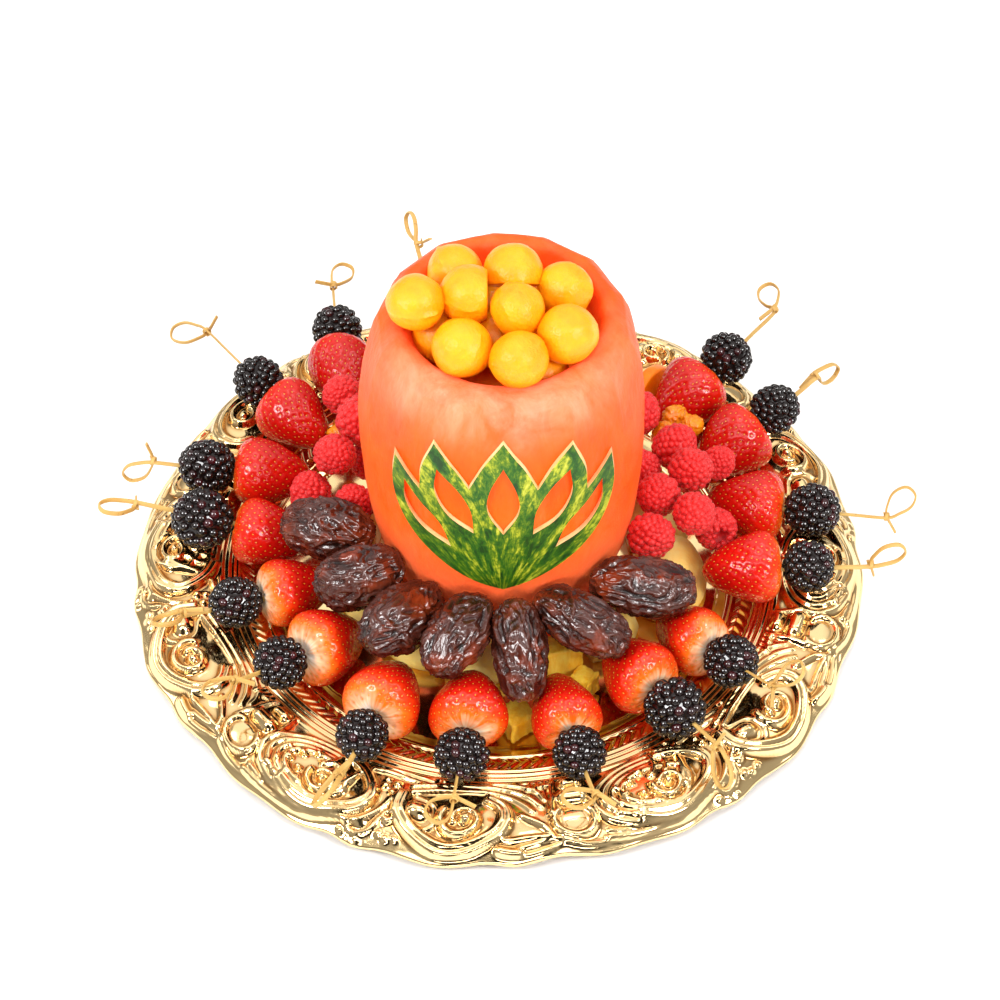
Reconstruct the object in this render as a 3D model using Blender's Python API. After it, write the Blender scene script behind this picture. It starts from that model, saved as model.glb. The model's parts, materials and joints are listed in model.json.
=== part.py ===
# Fruit platter: an ornate round tray with a carved watermelon bowl of melon balls in its middle,
# a bed of melon slices and pineapple round it, dates and raspberries on the bed,
# and a ring of strawberry and dark berry picks whose berries lie on the tray's rim.
# Metres, +Z up, the tray's underside on z = 0 and its middle on the Z axis, the carving faces -Y.

import math

import bmesh
import bpy
from mathutils import Euler, Vector

for old in list(bpy.data.objects):
    bpy.data.objects.remove(old, do_unlink=True)

mm = 0.001

# ---------------------------------------------------------------- driving dimensions
tray_radius = 177.0 * mm
tray_lobe = 1.6 * mm
tray_well_radius = 104.0 * mm
tray_floor = 3.0 * mm
tray_wall = 1.6 * mm
tray_segments = 78
tray_repeats = 6
scroll_radius = 152.0 * mm
plain_scroll_angle = 30.5
leaf_scroll_angle = 3.0

melon_axis = (2.2 * mm, 8.9 * mm)
melon_base = tray_floor + 0.35 * mm
melon_segments = 36
melon_facets = 14
rind_height = 2.4 * mm

ball_radius = 13.4 * mm
heap_core_radius = 35.0 * mm
heap_core_base = 141.0 * mm
heap_core_top = 174.5 * mm

strawberry_length = 38.0 * mm
strawberry_segments = 8
stick_inset = 6.0 * mm
strip_width = 2.2 * mm
strip_thickness = 1.0 * mm

slice_base = tray_floor + 0.35 * mm


# ---------------------------------------------------------------- materials
def make_material(name, color, roughness, metallic=0.0):
    material = bpy.data.materials.new(name)
    material.use_nodes = True
    shader = material.node_tree.nodes["Principled BSDF"]
    shader.inputs["Base Color"].default_value = (*color, 1.0)
    shader.inputs["Roughness"].default_value = roughness
    shader.inputs["Metallic"].default_value = metallic
    material.diffuse_color = (*color, 1.0)
    return material


# ---------------------------------------------------------------- mesh helpers
def make_object(name, verts, faces, material, smooth=True):
    mesh = bpy.data.meshes.new(name)
    mesh.from_pydata([tuple(v) for v in verts], [], faces)
    shape = bmesh.new()
    shape.from_mesh(mesh)
    bmesh.ops.recalc_face_normals(shape, faces=shape.faces)
    shape.to_mesh(mesh)
    shape.free()
    for polygon in mesh.polygons:
        polygon.use_smooth = smooth
    item = bpy.data.objects.new(name, mesh)
    bpy.context.scene.collection.objects.link(item)
    if material:
        mesh.materials.append(material)
    return item


# Closed skin over a stack of equal rings, the two ends drawn together to a point each.
def skin(rings, first, last):
    count = len(rings[0])
    verts = [first]
    for ring in rings:
        verts.extend(ring)
    verts.append(last)
    faces = []
    for i in range(count):
        faces.append((0, 1 + (i + 1) % count, 1 + i))
    for row in range(len(rings) - 1):
        low = 1 + row * count
        high = low + count
        for i in range(count):
            j = (i + 1) % count
            faces.append((low + i, low + j, high + j, high + i))
    top = 1 + (len(rings) - 1) * count
    for i in range(count):
        faces.append((top + i, top + (i + 1) % count, len(verts) - 1))
    return verts, faces


def circle(radius, height, segments, center=(0.0, 0.0)):
    points = []
    for i in range(segments):
        turn = 2 * math.pi * i / segments
        points.append((center[0] + radius * math.cos(turn), center[1] + radius * math.sin(turn), height))
    return points


def interpolate(table, x):
    if x <= table[0][0]:
        return table[0][1]
    for (x0, y0), (x1, y1) in zip(table, table[1:]):
        if x <= x1:
            return y0 + (y1 - y0) * (x - x0) / (x1 - x0)
    return table[-1][1]


def join_solids(base, parts, operation="UNION", solver="EXACT"):
    group = bpy.data.collections.new(base.name + "_parts")
    for part in parts:
        group.objects.link(part)
    cut = base.modifiers.new("join", "BOOLEAN")
    cut.operation = operation
    cut.operand_type = "COLLECTION"
    cut.collection = group
    cut.solver = solver
    bpy.context.view_layer.objects.active = base
    bpy.ops.object.modifier_apply(modifier=cut.name)
    for part in parts:
        bpy.data.objects.remove(part, do_unlink=True)
    bpy.data.collections.remove(group)
    return base


def combine_pair(base, other, operation):
    cut = base.modifiers.new("pair", "BOOLEAN")
    cut.operation = operation
    cut.object = other
    cut.solver = "EXACT"
    bpy.context.view_layer.objects.active = base
    bpy.ops.object.modifier_apply(modifier=cut.name)
    bpy.data.objects.remove(other, do_unlink=True)
    return base


def box_object(name, size, place, material=None, turn=(0.0, 0.0, 0.0)):
    half = Vector(size) * 0.5
    spin = Euler(turn).to_matrix()
    verts = []
    for sx, sy, sz in ((-1, -1, -1), (1, -1, -1), (1, 1, -1), (-1, 1, -1),
                       (-1, -1, 1), (1, -1, 1), (1, 1, 1), (-1, 1, 1)):
        corner = Vector((sx * half.x, sy * half.y, sz * half.z))
        verts.append(spin @ corner + Vector(place))
    faces = [(0, 3, 2, 1), (4, 5, 6, 7), (0, 1, 5, 4), (1, 2, 6, 5), (2, 3, 7, 6), (3, 0, 4, 7)]
    return make_object(name, verts, faces, material, smooth=False)


# ---------------------------------------------------------------- tray
# Height of the tray's upper face against radius: flat well, stepped mouldings, crowned rim.
tray_profile = ((0.0, 3.0), (104.0, 3.0), (109.0, 3.6), (112.0, 6.4), (117.0, 6.6), (122.0, 8.6),
                (127.0, 10.8), (132.0, 11.0), (140.0, 13.2), (150.0, 15.4), (160.0, 15.8),
                (168.0, 13.6), (173.0, 10.6), (178.0, 7.0))
tray_rows = (104.0, 109.0, 112.0, 117.0, 122.0, 127.0, 135.0, 143.0, 151.0, 159.0, 167.0)


def bump(distance, radius):
    if distance >= radius:
        return 0.0
    return 0.5 + 0.5 * math.cos(math.pi * distance / radius)


# Raised scrolls of the rim, repeated six times round it.
def rim_relief(radius, turn):
    step = 360.0 / tray_repeats
    lift = 0.0
    for angle, size, height in ((plain_scroll_angle, 17.0 * mm, 1.8 * mm),
                                (leaf_scroll_angle, 21.0 * mm, 2.2 * mm),
                                (leaf_scroll_angle + 44.0, 10.0 * mm, 1.2 * mm)):
        offset = (math.degrees(turn) - angle + step / 2) % step - step / 2
        across = scroll_radius * math.radians(offset)
        lift += height * bump(math.hypot(across, radius - scroll_radius), size)
    return lift


def rim_edge(turn):
    wave = math.cos(tray_repeats * 2 * (turn - math.radians(plain_scroll_angle)))
    fine = math.cos(tray_repeats * 4 * (turn - math.radians(leaf_scroll_angle)))
    return tray_radius + tray_lobe * (0.5 * wave + 0.35 * fine)


def tray_top(radius, turn):
    height = interpolate(tray_profile, radius / mm) * mm
    if radius > 134 * mm:
        height += rim_relief(radius, turn)
    return height


def tray_ring(radius, drop, edge=False, floor=None):
    points = []
    for i in range(tray_segments):
        turn = 2 * math.pi * i / tray_segments
        reach = rim_edge(turn) if edge else radius
        height = tray_top(reach, turn) - drop
        if floor is not None:
            height = floor
        points.append((reach * math.cos(turn), reach * math.sin(turn), height))
    return points


def make_tray():
    rings = []
    for row in tray_rows:
        rings.append(tray_ring(row * mm, 0.0))
    rings.append(tray_ring(0.0, 0.0, edge=True))
    rings.append(tray_ring(0.0, tray_wall, edge=True))
    rings.append(tray_ring(165.0 * mm, tray_wall + 1.2 * mm))
    rings.append(tray_ring(130.0 * mm, tray_wall + 0.4 * mm))
    rings.append(tray_ring(107.0 * mm, 0.0, floor=0.0))
    verts, faces = skin(rings, (0.0, 0.0, tray_floor), (0.0, 0.0, 0.0))
    gold = make_material("gold", (0.86, 0.69, 0.36), 0.16, 1.0)
    make_object("tray", verts, faces, gold)


# ---------------------------------------------------------------- watermelon bowl
# Outer skin (height, radius), rounded lip and the hollow's wall down to its floor, in mm.
melon_profile = ((3.35, 41.0), (12.0, 49.5), (30.0, 58.4), (52.0, 62.9), (76.0, 65.9), (100.0, 67.0),
                 (124.0, 66.2), (143.0, 63.4), (156.0, 60.2), (165.0, 56.6))
melon_lip = ((169.4, 51.5), (169.0, 46.0), (163.0, 42.6), (140.4, 39.0))


# Knife facets flatten the round shoulder a little towards the mouth.
def facet(turn, height):
    share = min(1.0, max(0.0, (height - 118.0 * mm) / (40.0 * mm)))
    step = 2 * math.pi / melon_facets
    local = (turn + math.radians(5.0)) % step - step / 2
    flat = math.cos(step / 2) / math.cos(local)
    return 1.0 + share * (flat - 1.0)


def melon_ring(height, radius, grow=0.0):
    points = []
    for i in range(melon_segments):
        turn = 2 * math.pi * i / melon_segments
        reach = (radius + grow) * facet(turn, height)
        points.append((melon_axis[0] + reach * math.cos(turn), melon_axis[1] + reach * math.sin(turn), height))
    return points


# Half outline of the carved lotus in the rind, from its foot up its right side, (x, z) in mm.
lotus_outline = ((0.0, 58.0), (13.0, 64.0), (27.0, 73.0), (39.0, 84.0), (47.0, 98.0), (50.5, 114.0),
                 (49.0, 131.0), (43.0, 124.0), (38.0, 119.0), (37.0, 132.0), (31.0, 148.0),
                 (22.0, 138.0), (15.5, 128.0), (9.0, 141.0), (0.0, 154.0))
# Flesh showing through each petal.
lotus_windows = (((0.0, 141.0), (6.0, 128.0), (7.0, 115.0), (0.0, 101.0), (-7.0, 115.0), (-6.0, 128.0)),
                 ((30.0, 135.0), (31.0, 121.0), (25.0, 108.0), (13.5, 100.0), (15.0, 115.0), (21.5, 127.0)),
                 ((45.0, 120.0), (44.5, 106.0), (37.0, 94.0), (24.0, 87.0), (29.0, 101.0), (38.0, 111.0)))


def prism(name, outline, front, back):
    verts = [(x, front, z) for x, z in outline] + [(x, back, z) for x, z in outline]
    count = len(outline)
    faces = [tuple(range(count)), tuple(reversed(range(count, 2 * count)))]
    for i in range(count):
        j = (i + 1) % count
        faces.append((i, i + count, j + count, j))
    return make_object(name, verts, faces, None, smooth=False)


def shifted(outline):
    return [(melon_axis[0] + x * mm, z * mm) for x, z in outline]


def make_melon():
    flesh = make_material("watermelon_flesh", (0.85, 0.17, 0.07), 0.4)
    rings = [melon_ring(height * mm, radius * mm) for height, radius in melon_profile + melon_lip]
    center = melon_axis
    verts, faces = skin(rings, (*center, melon_base), (*center, melon_lip[-1][0] * mm))
    melon = make_object("watermelon", verts, faces, flesh)
    cover_rings = []
    for height, radius in melon_profile[3:10]:
        cover_rings.append(melon_ring(height * mm, radius * mm, rind_height))
    verts, faces = skin(cover_rings, (*center, 51.0 * mm), (*center, 166.0 * mm))
    crest = make_object("crest", verts, faces, None)
    right = list(lotus_outline)
    left = [(-x, z) for x, z in reversed(lotus_outline[1:-1])]
    combine_pair(crest, prism("outline", shifted(right + left), -0.09, -0.0335), "INTERSECT")
    windows = [prism("window", shifted(lotus_windows[0]), -0.1, -0.02)]
    for outline in lotus_windows[1:]:
        windows.append(prism("window", shifted(outline), -0.1, -0.02))
        mirrored = [(-x, z) for x, z in reversed(outline)]
        windows.append(prism("window", shifted(mirrored), -0.1, -0.02))
    for window in windows:
        combine_pair(crest, window, "DIFFERENCE")
    combine_pair(melon, crest, "UNION")


# ---------------------------------------------------------------- melon balls
# Middles of the balls that show, and their radii: the third and fourth are cut balls.
balls = (((-37.1, 5.1, 183.8), 13.3), ((-19.7, 33.1, 175.6), 13.0), ((6.5, 27.8, 180.0), 14.0),
         ((-13.1, 11.1, 182.9), 13.6), ((30.0, 21.3, 175.5), 12.8), ((8.7, 0.8, 183.7), 12.6),
         ((30.9, -8.8, 177.8), 13.8), ((-16.2, -14.5, 174.6), 13.8), ((9.2, -23.4, 176.4), 13.4))


def ball_object(name, place, radius, detail, material=None):
    shape = bmesh.new()
    bmesh.ops.create_icosphere(shape, subdivisions=detail, radius=radius)
    verts = [v.co + Vector(place) for v in shape.verts]
    faces = [tuple(v.index for v in f.verts) for f in shape.faces]
    shape.free()
    return make_object(name, verts, faces, material)


def make_balls():
    yellow = make_material("melon_ball", (0.95, 0.62, 0.03), 0.3)
    x, y = melon_axis
    rings = [circle(heap_core_radius, heap_core_base, 12, (x, y)),
             circle(heap_core_radius - 1.0 * mm, heap_core_top - 20 * mm, 12, (x, y)),
             circle(heap_core_radius * 0.78, heap_core_top - 8 * mm, 12, (x, y))]
    verts, faces = skin(rings, (x, y, heap_core_base), (x, y, heap_core_top))
    heap = make_object("melon_balls", verts, faces, yellow)
    shown = []
    for number, (place, radius) in enumerate(balls):
        center = Vector(place) * mm
        ball = ball_object("ball", center, radius * mm, 2)
        if number == 2:
            cutter = box_object("cut", (0.04, 0.02, 0.04), center + Vector((0.0, -0.0115, -0.0103)),
                                turn=(math.radians(41.8), 0.0, 0.0))
            combine_pair(ball, cutter, "DIFFERENCE")
        if number == 3:
            cutter = box_object("cut", (0.02, 0.04, 0.04), center + Vector((0.0182, 0.0, 0.0)))
            combine_pair(ball, cutter, "DIFFERENCE")
        shown.append(ball)
    join_solids(heap, shown)


# ---------------------------------------------------------------- fruit picks
# Radius of a hulled strawberry from its tip (0) to its cut end (1), as a share of the widest.
strawberry_shape = ((0.10, 0.40), (0.34, 0.76), (0.70, 1.0), (1.0, 0.70))


# A dark berry is thirty-two low drupelets: a twelve-cornered ball cut at its corners, every face raised.
def dark_berry_object(place, radius):
    shape = bmesh.new()
    bmesh.ops.create_icosphere(shape, subdivisions=1, radius=1.0)
    shape.edges.ensure_lookup_table()
    edge = shape.edges[0].calc_length()
    bmesh.ops.bevel(shape, geom=list(shape.verts), offset=edge / 3, offset_type="OFFSET",
                    affect="VERTICES", segments=1, profile=0.5)
    for vert in shape.verts:
        vert.co = vert.co.normalized() * radius * 0.87
    poked = bmesh.ops.poke(shape, faces=list(shape.faces))
    for vert in poked["verts"]:
        vert.co = vert.co.normalized() * radius
    shape.verts.index_update()
    spin = Euler((0.34, 0.47, 0.21)).to_matrix()
    verts = [spin @ v.co + Vector(place) for v in shape.verts]
    faces = [tuple(v.index for v in f.verts) for f in shape.faces]
    shape.free()
    return make_object("berry", verts, faces, None)


# The bamboo strip in one piece: straight stick, then a loop in the pick's own plane that crosses
# over the stick's end and leaves a short tail. (distance along the loop's aim, to its side, lift)
strip_path = ((0.0, 0.0, -1.3), (5.5, 3.4, -0.9), (12.0, 5.6, -0.5), (18.0, 3.4, 0.0), (18.5, -2.6, 0.4),
              (12.0, -5.4, 0.7), (5.0, -3.4, 1.0), (0.0, 0.0, 1.3), (-4.5, 9.0, 1.5))


def strip_object(start, knot, aim, side):
    normal = aim.cross(side).normalized()
    points = [Vector((start, 0.0, 0.0))]
    for along, across, lift in strip_path:
        points.append(knot + (aim * along + side * across + normal * lift) * mm)
    rings = []
    for i, point in enumerate(points):
        before = points[max(0, i - 1)]
        after = points[min(len(points) - 1, i + 1)]
        out = (after - before).normalized().cross(normal).normalized()
        half = normal * strip_width / 2
        rings.append((point - half - out * strip_thickness / 3, point + half - out * strip_thickness / 3,
                      point + out * strip_thickness))
    verts = [corner for ring in rings for corner in ring]
    faces = [(0, 1, 2), (len(verts) - 1, len(verts) - 2, len(verts) - 3)]
    for row in range(len(rings) - 1):
        for k in range(3):
            m = (k + 1) % 3
            faces.append((3 * row + k, 3 * row + m, 3 * row + 3 + m, 3 * row + 3 + k))
    return make_object("strip", verts, faces, None, smooth=False)


# One pick: local +X runs from the strawberry's tip out through the dark berry to the knot.
# The origin is the strawberry's widest place.
def make_pick(name, wide_place, berry_place, wide, berry, knot_gap, roll, lean, red):
    start = Vector(wide_place) * mm
    end = Vector(berry_place) * mm
    reach = (end - start).length
    length = strawberry_length
    rings = []
    for share, part in strawberry_shape:
        ring = []
        for i in range(strawberry_segments):
            turn = 2 * math.pi * i / strawberry_segments
            radius = wide * mm * part
            ring.append(((share - 0.7) * length, radius * math.cos(turn), radius * math.sin(turn)))
        rings.append(ring)
    verts, faces = skin(rings, (-0.7 * length, 0.0, 0.0), (0.27 * length, 0.0, 0.0))
    pick = make_object(name, verts, faces, red)
    knot = Vector((reach + knot_gap * mm, 0.0, 0.0))
    stick_start = 0.3 * length - stick_inset
    plane = math.radians(roll)
    bend = math.radians(lean)
    across = Vector((0.0, math.cos(plane), math.sin(plane)))
    aim = Vector((math.cos(bend), 0.0, 0.0)) + across * math.sin(bend)
    side = Vector((-math.sin(bend), 0.0, 0.0)) + across * math.cos(bend)
    parts = [dark_berry_object((reach, 0.0, 0.0), berry * mm), strip_object(stick_start, knot, aim, side)]
    join_solids(pick, parts)
    pick.location = start
    pick.rotation_euler = (end - start).to_track_quat("X", "Z").to_euler()


# Widest place of the strawberry, middle of the dark berry, their radii, distance from the berry's
# middle to the knot, turn of the loop about the pick and lean of the loop from it.
picks = (
    ((128.0, 20.5, 29.5), (153.3, 16.4, 30.8), 17.0, 13.6, 36.0, 248.0, -55.0),
    ((119.7, 63.7, 31.2), (138.3, 78.9, 36.7), 17.5, 12.6, 28.0, 273.0, 42.0),
    ((98.4, 96.3, 31.7), (115.6, 114.0, 37.4), 17.5, 13.4, 38.0, 347.0, 57.0),
    ((18.0, 128.0, 31.0), (22.0, 152.4, 32.6), 17.0, 13.2, 25.0, 0.0, 25.0),
    ((-27.3, 131.4, 31.4), (-33.7, 154.2, 40.8), 17.0, 13.2, 32.0, 112.0, -11.0),
    ((-80.9, 114.3, 31.8), (-83.3, 139.4, 32.5), 17.0, 13.2, 31.0, 16.0, -28.0),
    ((-105.3, 82.8, 30.8), (-121.7, 101.4, 33.3), 17.5, 13.1, 42.5, 161.0, -47.0),
    ((-118.6, 43.2, 29.2), (-144.3, 45.3, 30.9), 17.5, 13.8, 27.0, 96.0, -46.0),
    ((-117.4, 6.5, 26.6), (-144.2, 9.9, 31.6), 17.0, 15.3, 33.0, 201.0, -34.0),
    ((-102.8, -29.5, 23.2), (-125.5, -38.5, 26.5), 17.0, 12.6, 26.0, 33.0, 30.0),
    ((-83.9, -63.6, 23.6), (-101.9, -79.2, 31.4), 18.0, 13.0, 28.0, 3.0, 8.0),
    ((-54.1, -97.6, 25.4), (-62.5, -120.3, 29.7), 18.3, 12.6, 28.0, 54.0, -21.0),
    ((-14.1, -104.3, 24.2), (-16.9, -129.2, 26.5), 18.3, 13.2, 27.0, 338.0, -34.0),
    ((31.2, -103.9, 22.3), (37.2, -127.7, 26.1), 16.0, 12.8, 28.0, 337.0, -71.0),
    ((67.2, -81.2, 23.1), (81.6, -103.4, 28.1), 17.5, 14.8, 33.0, 66.0, -44.0),
    ((93.5, -59.1, 23.0), (108.7, -77.5, 30.4), 16.5, 13.0, 28.5, 225.0, -52.0),
    ((124.1, -19.1, 29.1), (148.9, -18.7, 29.8), 17.5, 12.8, 30.0, 271.0, -39.0),
)


def make_picks():
    red = make_material("pick_fruit", (0.72, 0.04, 0.02), 0.25)
    for number, values in enumerate(picks, 1):
        make_pick(f"fruit_pick_{number:02d}", *values, red)


# ---------------------------------------------------------------- dates
# Outer and inner end of each date's middle line, its length and its thickness.
dates = (
    ((-91.9, -6.1, 45.2), (-71.7, -11.5, 47.4), 47.0, 28.0),
    ((-74.2, -42.0, 44.9), (-57.1, -39.5, 49.8), 44.0, 28.0),
    ((-52.1, -73.1, 48.3), (-37.2, -57.0, 46.5), 48.0, 28.0),
    ((-24.4, -85.7, 48.2), (-13.4, -68.1, 51.2), 46.0, 27.0),
    ((10.7, -92.5, 39.0), (8.3, -72.5, 51.0), 49.0, 25.8),
    ((49.0, -73.7, 45.7), (28.0, -64.2, 51.9), 49.0, 27.0),
    ((80.8, -48.0, 47.9), (54.8, -46.6, 49.5), 51.0, 28.0),
)
date_shape = ((0.06, 0.50), (0.22, 0.86), (0.42, 1.0), (0.62, 0.99), (0.80, 0.84), (0.95, 0.46))


def make_dates():
    brown = make_material("date_skin", (0.06, 0.015, 0.012), 0.35)
    segments = 8
    for number, (outer, inner, length, thick) in enumerate(dates, 1):
        rings = []
        for row, (share, part) in enumerate(date_shape):
            ring = []
            for i in range(segments):
                turn = 2 * math.pi * (i + 0.5 * (row % 2)) / segments
                crease = 1.0 - 0.035 * (1 + math.cos(4.1 * turn + 1.7 * row + number))
                radius = thick * mm / 2 * part * crease
                ring.append(((share - 0.5) * length * mm, radius * math.cos(turn), radius * math.sin(turn)))
            rings.append(ring)
        half = length * mm / 2
        verts, faces = skin(rings, (-half, 0.0, 0.0), (half, 0.0, 0.0))
        date = make_object(f"date_{number}", verts, faces, brown)
        start = Vector(outer) * mm
        end = Vector(inner) * mm
        date.location = (start + end) / 2
        date.rotation_euler = (end - start).to_track_quat("X", "Z").to_euler()


# ---------------------------------------------------------------- raspberries
# Middle, radius and the way the closed tip points.
raspberries = (
    ((86.8, 47.0, 43.9), 11.0, (0.6, 0.5, 0.6)), ((93.7, 25.9, 50.0), 11.2, (0.5, -0.5, 0.7)),
    ((76.9, 10.0, 49.4), 11.2, (-0.3, -0.5, 0.8)), ((93.9, -4.7, 52.1), 10.8, (0.4, -0.7, 0.5)),
    ((73.3, -13.5, 46.0), 11.5, (0.7, -0.4, 0.5)), ((107.8, 38.2, 41.6), 8.6, (0.6, 0.2, 0.7)),
    ((104.0, 2.9, 34.7), 10.0, (-0.4, 0.6, 0.5)), ((70.1, 67.4, 46.0), 10.5, (0.3, 0.6, 0.6)),
    ((70.0, 33.4, 41.5), 10.0, (0.2, 0.2, 0.9)), ((-78.3, 81.7, 44.2), 10.5, (-0.3, -0.6, 0.6)),
    ((-68.0, 57.3, 51.3), 13.0, (-0.3, -0.5, 0.8)), ((-79.7, 35.8, 49.6), 10.8, (0.4, -0.6, 0.5)),
    ((-92.0, 24.3, 35.0), 10.8, (-0.2, 0.4, 0.8)), ((-70.4, 13.2, 39.5), 10.0, (-0.5, -0.5, 0.6)),
    ((-65.3, 50.6, 29.3), 9.5, (-0.5, 0.3, 0.7)),
)


# A raspberry is twenty raised drupelets, a little longer than wide and narrower to its tip.
def make_raspberries():
    pink = make_material("raspberry", (0.70, 0.03, 0.05), 0.4)
    for number, (place, radius, aim) in enumerate(raspberries, 1):
        shape = bmesh.new()
        bmesh.ops.create_icosphere(shape, subdivisions=1, radius=1.0)
        for vert in shape.verts:
            vert.co = vert.co * 0.86
        poked = bmesh.ops.poke(shape, faces=list(shape.faces))
        for vert in poked["verts"]:
            vert.co = vert.co.normalized()
        shape.verts.index_update()
        verts = []
        for vert in shape.verts:
            narrow = 1.0 - 0.10 * max(0.0, vert.co.z)
            verts.append(Vector((vert.co.x * narrow, vert.co.y * narrow, vert.co.z * 1.04)) * radius * mm)
        faces = [tuple(v.index for v in f.verts) for f in shape.faces]
        shape.free()
        berry = make_object(f"raspberry_{number:02d}", verts, faces, pink)
        berry.location = Vector(place) * mm
        berry.rotation_euler = Vector(aim).to_track_quat("Z", "Y").to_euler()


# ---------------------------------------------------------------- bed of slices and pieces
# A melon slice lies round the bowl: first and last angle, inner and outer radius from the
# bowl's axis and height of its back, in degrees and mm.
slices = (
    ("melon_slice_1", -29.0, 0.0, 64.0, 101.0, 26.0, "orange"),
    ("melon_slice_2", 6.0, 40.0, 62.0, 96.0, 28.0, "orange"),
    ("melon_slice_3", 45.0, 82.0, 62.0, 90.0, 29.0, "pale"),
    ("melon_slice_4", 87.0, 124.0, 62.0, 89.0, 28.0, "orange"),
    ("melon_slice_5", 154.0, 180.0, 62.0, 88.0, 27.0, "orange"),
    ("melon_slice_6", 184.0, 214.0, 62.0, 86.0, 27.0, "pale"),
    ("melon_slice_7", 218.0, 246.0, 62.0, 84.0, 28.0, "pale"),
    ("melon_slice_8", 249.0, 272.0, 62.0, 82.0, 28.0, "pale"),
    ("melon_slice_9", 303.0, 325.0, 62.0, 84.0, 28.0, "pale"),
)


def make_slices():
    colors = {"orange": make_material("melon_orange", (0.92, 0.48, 0.17), 0.4),
              "pale": make_material("melon_pale", (0.90, 0.72, 0.34), 0.4)}
    steps = 4
    for name, first, last, inner, outer, back, kind in slices:
        middle = (inner + outer) / 2
        section = ((inner, 0.0), (outer - 3.0, 0.0), (outer, 6.0), (outer - 5.0, back * 0.72),
                   (middle, back), (inner + 1.5, back * 0.80))
        rings = []
        for i in range(steps + 1):
            share = i / steps
            turn = math.radians(first + (last - first) * share)
            shrink = 0.50 + 0.50 * math.sin(math.pi * (0.12 + 0.76 * share))
            ring = []
            for radius, height in section:
                reach = (middle + (radius - middle) * shrink) * mm
                ring.append((melon_axis[0] + reach * math.cos(turn),
                             melon_axis[1] + reach * math.sin(turn),
                             slice_base + (height * shrink) * mm * 0.88))
            rings.append(ring)
        ends = []
        for ring in (rings[0], rings[-1]):
            total = Vector((0.0, 0.0, 0.0))
            for point in ring:
                total += Vector(point)
            ends.append(total / len(ring))
        verts, faces = skin(rings, ends[0], ends[1])
        make_object(name, verts, faces, colors[kind])


# Pineapple pieces: rough wedges with one curved side.
pineapples = (("pineapple_1", (28.5, -66.5, 17.5), (22.0, 13.0, 27.0), (0.0, 0.0, 14.0)),
              ("pineapple_2", (8.5, -96.0, 10.5), (16.0, 15.0, 13.0), (0.0, 0.0, 35.0)),
              ("pineapple_3", (40.0, -76.0, 11.5), (12.0, 12.0, 15.0), (0.0, 0.0, -35.0)))


def make_pineapples():
    yellow = make_material("pineapple", (0.93, 0.66, 0.12), 0.35)
    for name, place, size, turn in pineapples:
        wide, deep, high = [value * mm / 2 for value in size]
        rings = []
        for share, part in ((-1.0, 0.86), (-0.2, 1.0), (0.5, 0.93), (1.0, 0.62)):
            ring = []
            for x, y in ((-1.0, -0.8), (0.0, -1.0), (1.0, -0.8), (0.72, 0.5), (0.1, 1.0), (-0.62, 0.7)):
                ring.append((x * part * wide, y * part * deep, share * high))
            rings.append(ring)
        verts, faces = skin(rings, (0.0, 0.0, -high), (0.0, 0.0, high))
        piece = make_object(name, verts, faces, yellow)
        piece.location = Vector(place) * mm
        piece.rotation_euler = [math.radians(value) for value in turn]


# A half-moon slice of dried apricot colour standing on its cut side.
def make_apricot():
    amber = make_material("apricot", (0.90, 0.42, 0.03), 0.35)
    verts = []
    steps = 8
    for side in (-1, 1):
        for i in range(steps + 1):
            turn = math.pi * i / steps
            verts.append((17.0 * mm * math.cos(turn), side * 3.6 * mm, 15.0 * mm * math.sin(turn)))
    count = steps + 1
    faces = [tuple(range(count)), tuple(reversed(range(count, 2 * count)))]
    for i in range(count):
        j = (i + 1) % count
        faces.append((i, i + count, j + count, j))
    piece = make_object("apricot_slice", verts, faces, amber, smooth=False)
    piece.location = Vector((78.0, 107.0, 17.5)) * mm
    piece.rotation_euler = (math.radians(-10), 0.0, math.radians(52))


# Small heaps of golden raisins, each raisin a squashed eight-sided bead fused to its neighbours.
raisins = {
    "golden_raisins_1": ((89.0, 64.0, 35.0), (82.0, 62.0, 37.0), (96.0, 63.5, 41.0), (88.0, 72.0, 39.0)),
    "golden_raisins_2": ((-77.0, 75.0, 27.0), (-75.0, 67.0, 31.0), (-81.0, 55.0, 33.0), (-79.0, 62.0, 35.0)),
}


def make_raisins():
    amber = make_material("golden_raisin", (0.80, 0.38, 0.03), 0.25)
    for name, places in raisins.items():
        pieces = []
        for place in places:
            center = Vector(place) * mm
            pieces.append(ball_object(name, center, 6.2 * mm, 1, amber))
        join_solids(pieces[0], pieces[1:])
        pieces[0].name = name


make_tray()
make_melon()
make_balls()
make_picks()
make_dates()
make_raspberries()
make_slices()
make_pineapples()
make_apricot()
make_raisins()
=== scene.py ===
import json
import math
import random

import bpy
import numpy as np
from mathutils import Euler, Matrix, Vector, noise
from mathutils.kdtree import KDTree

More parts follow.
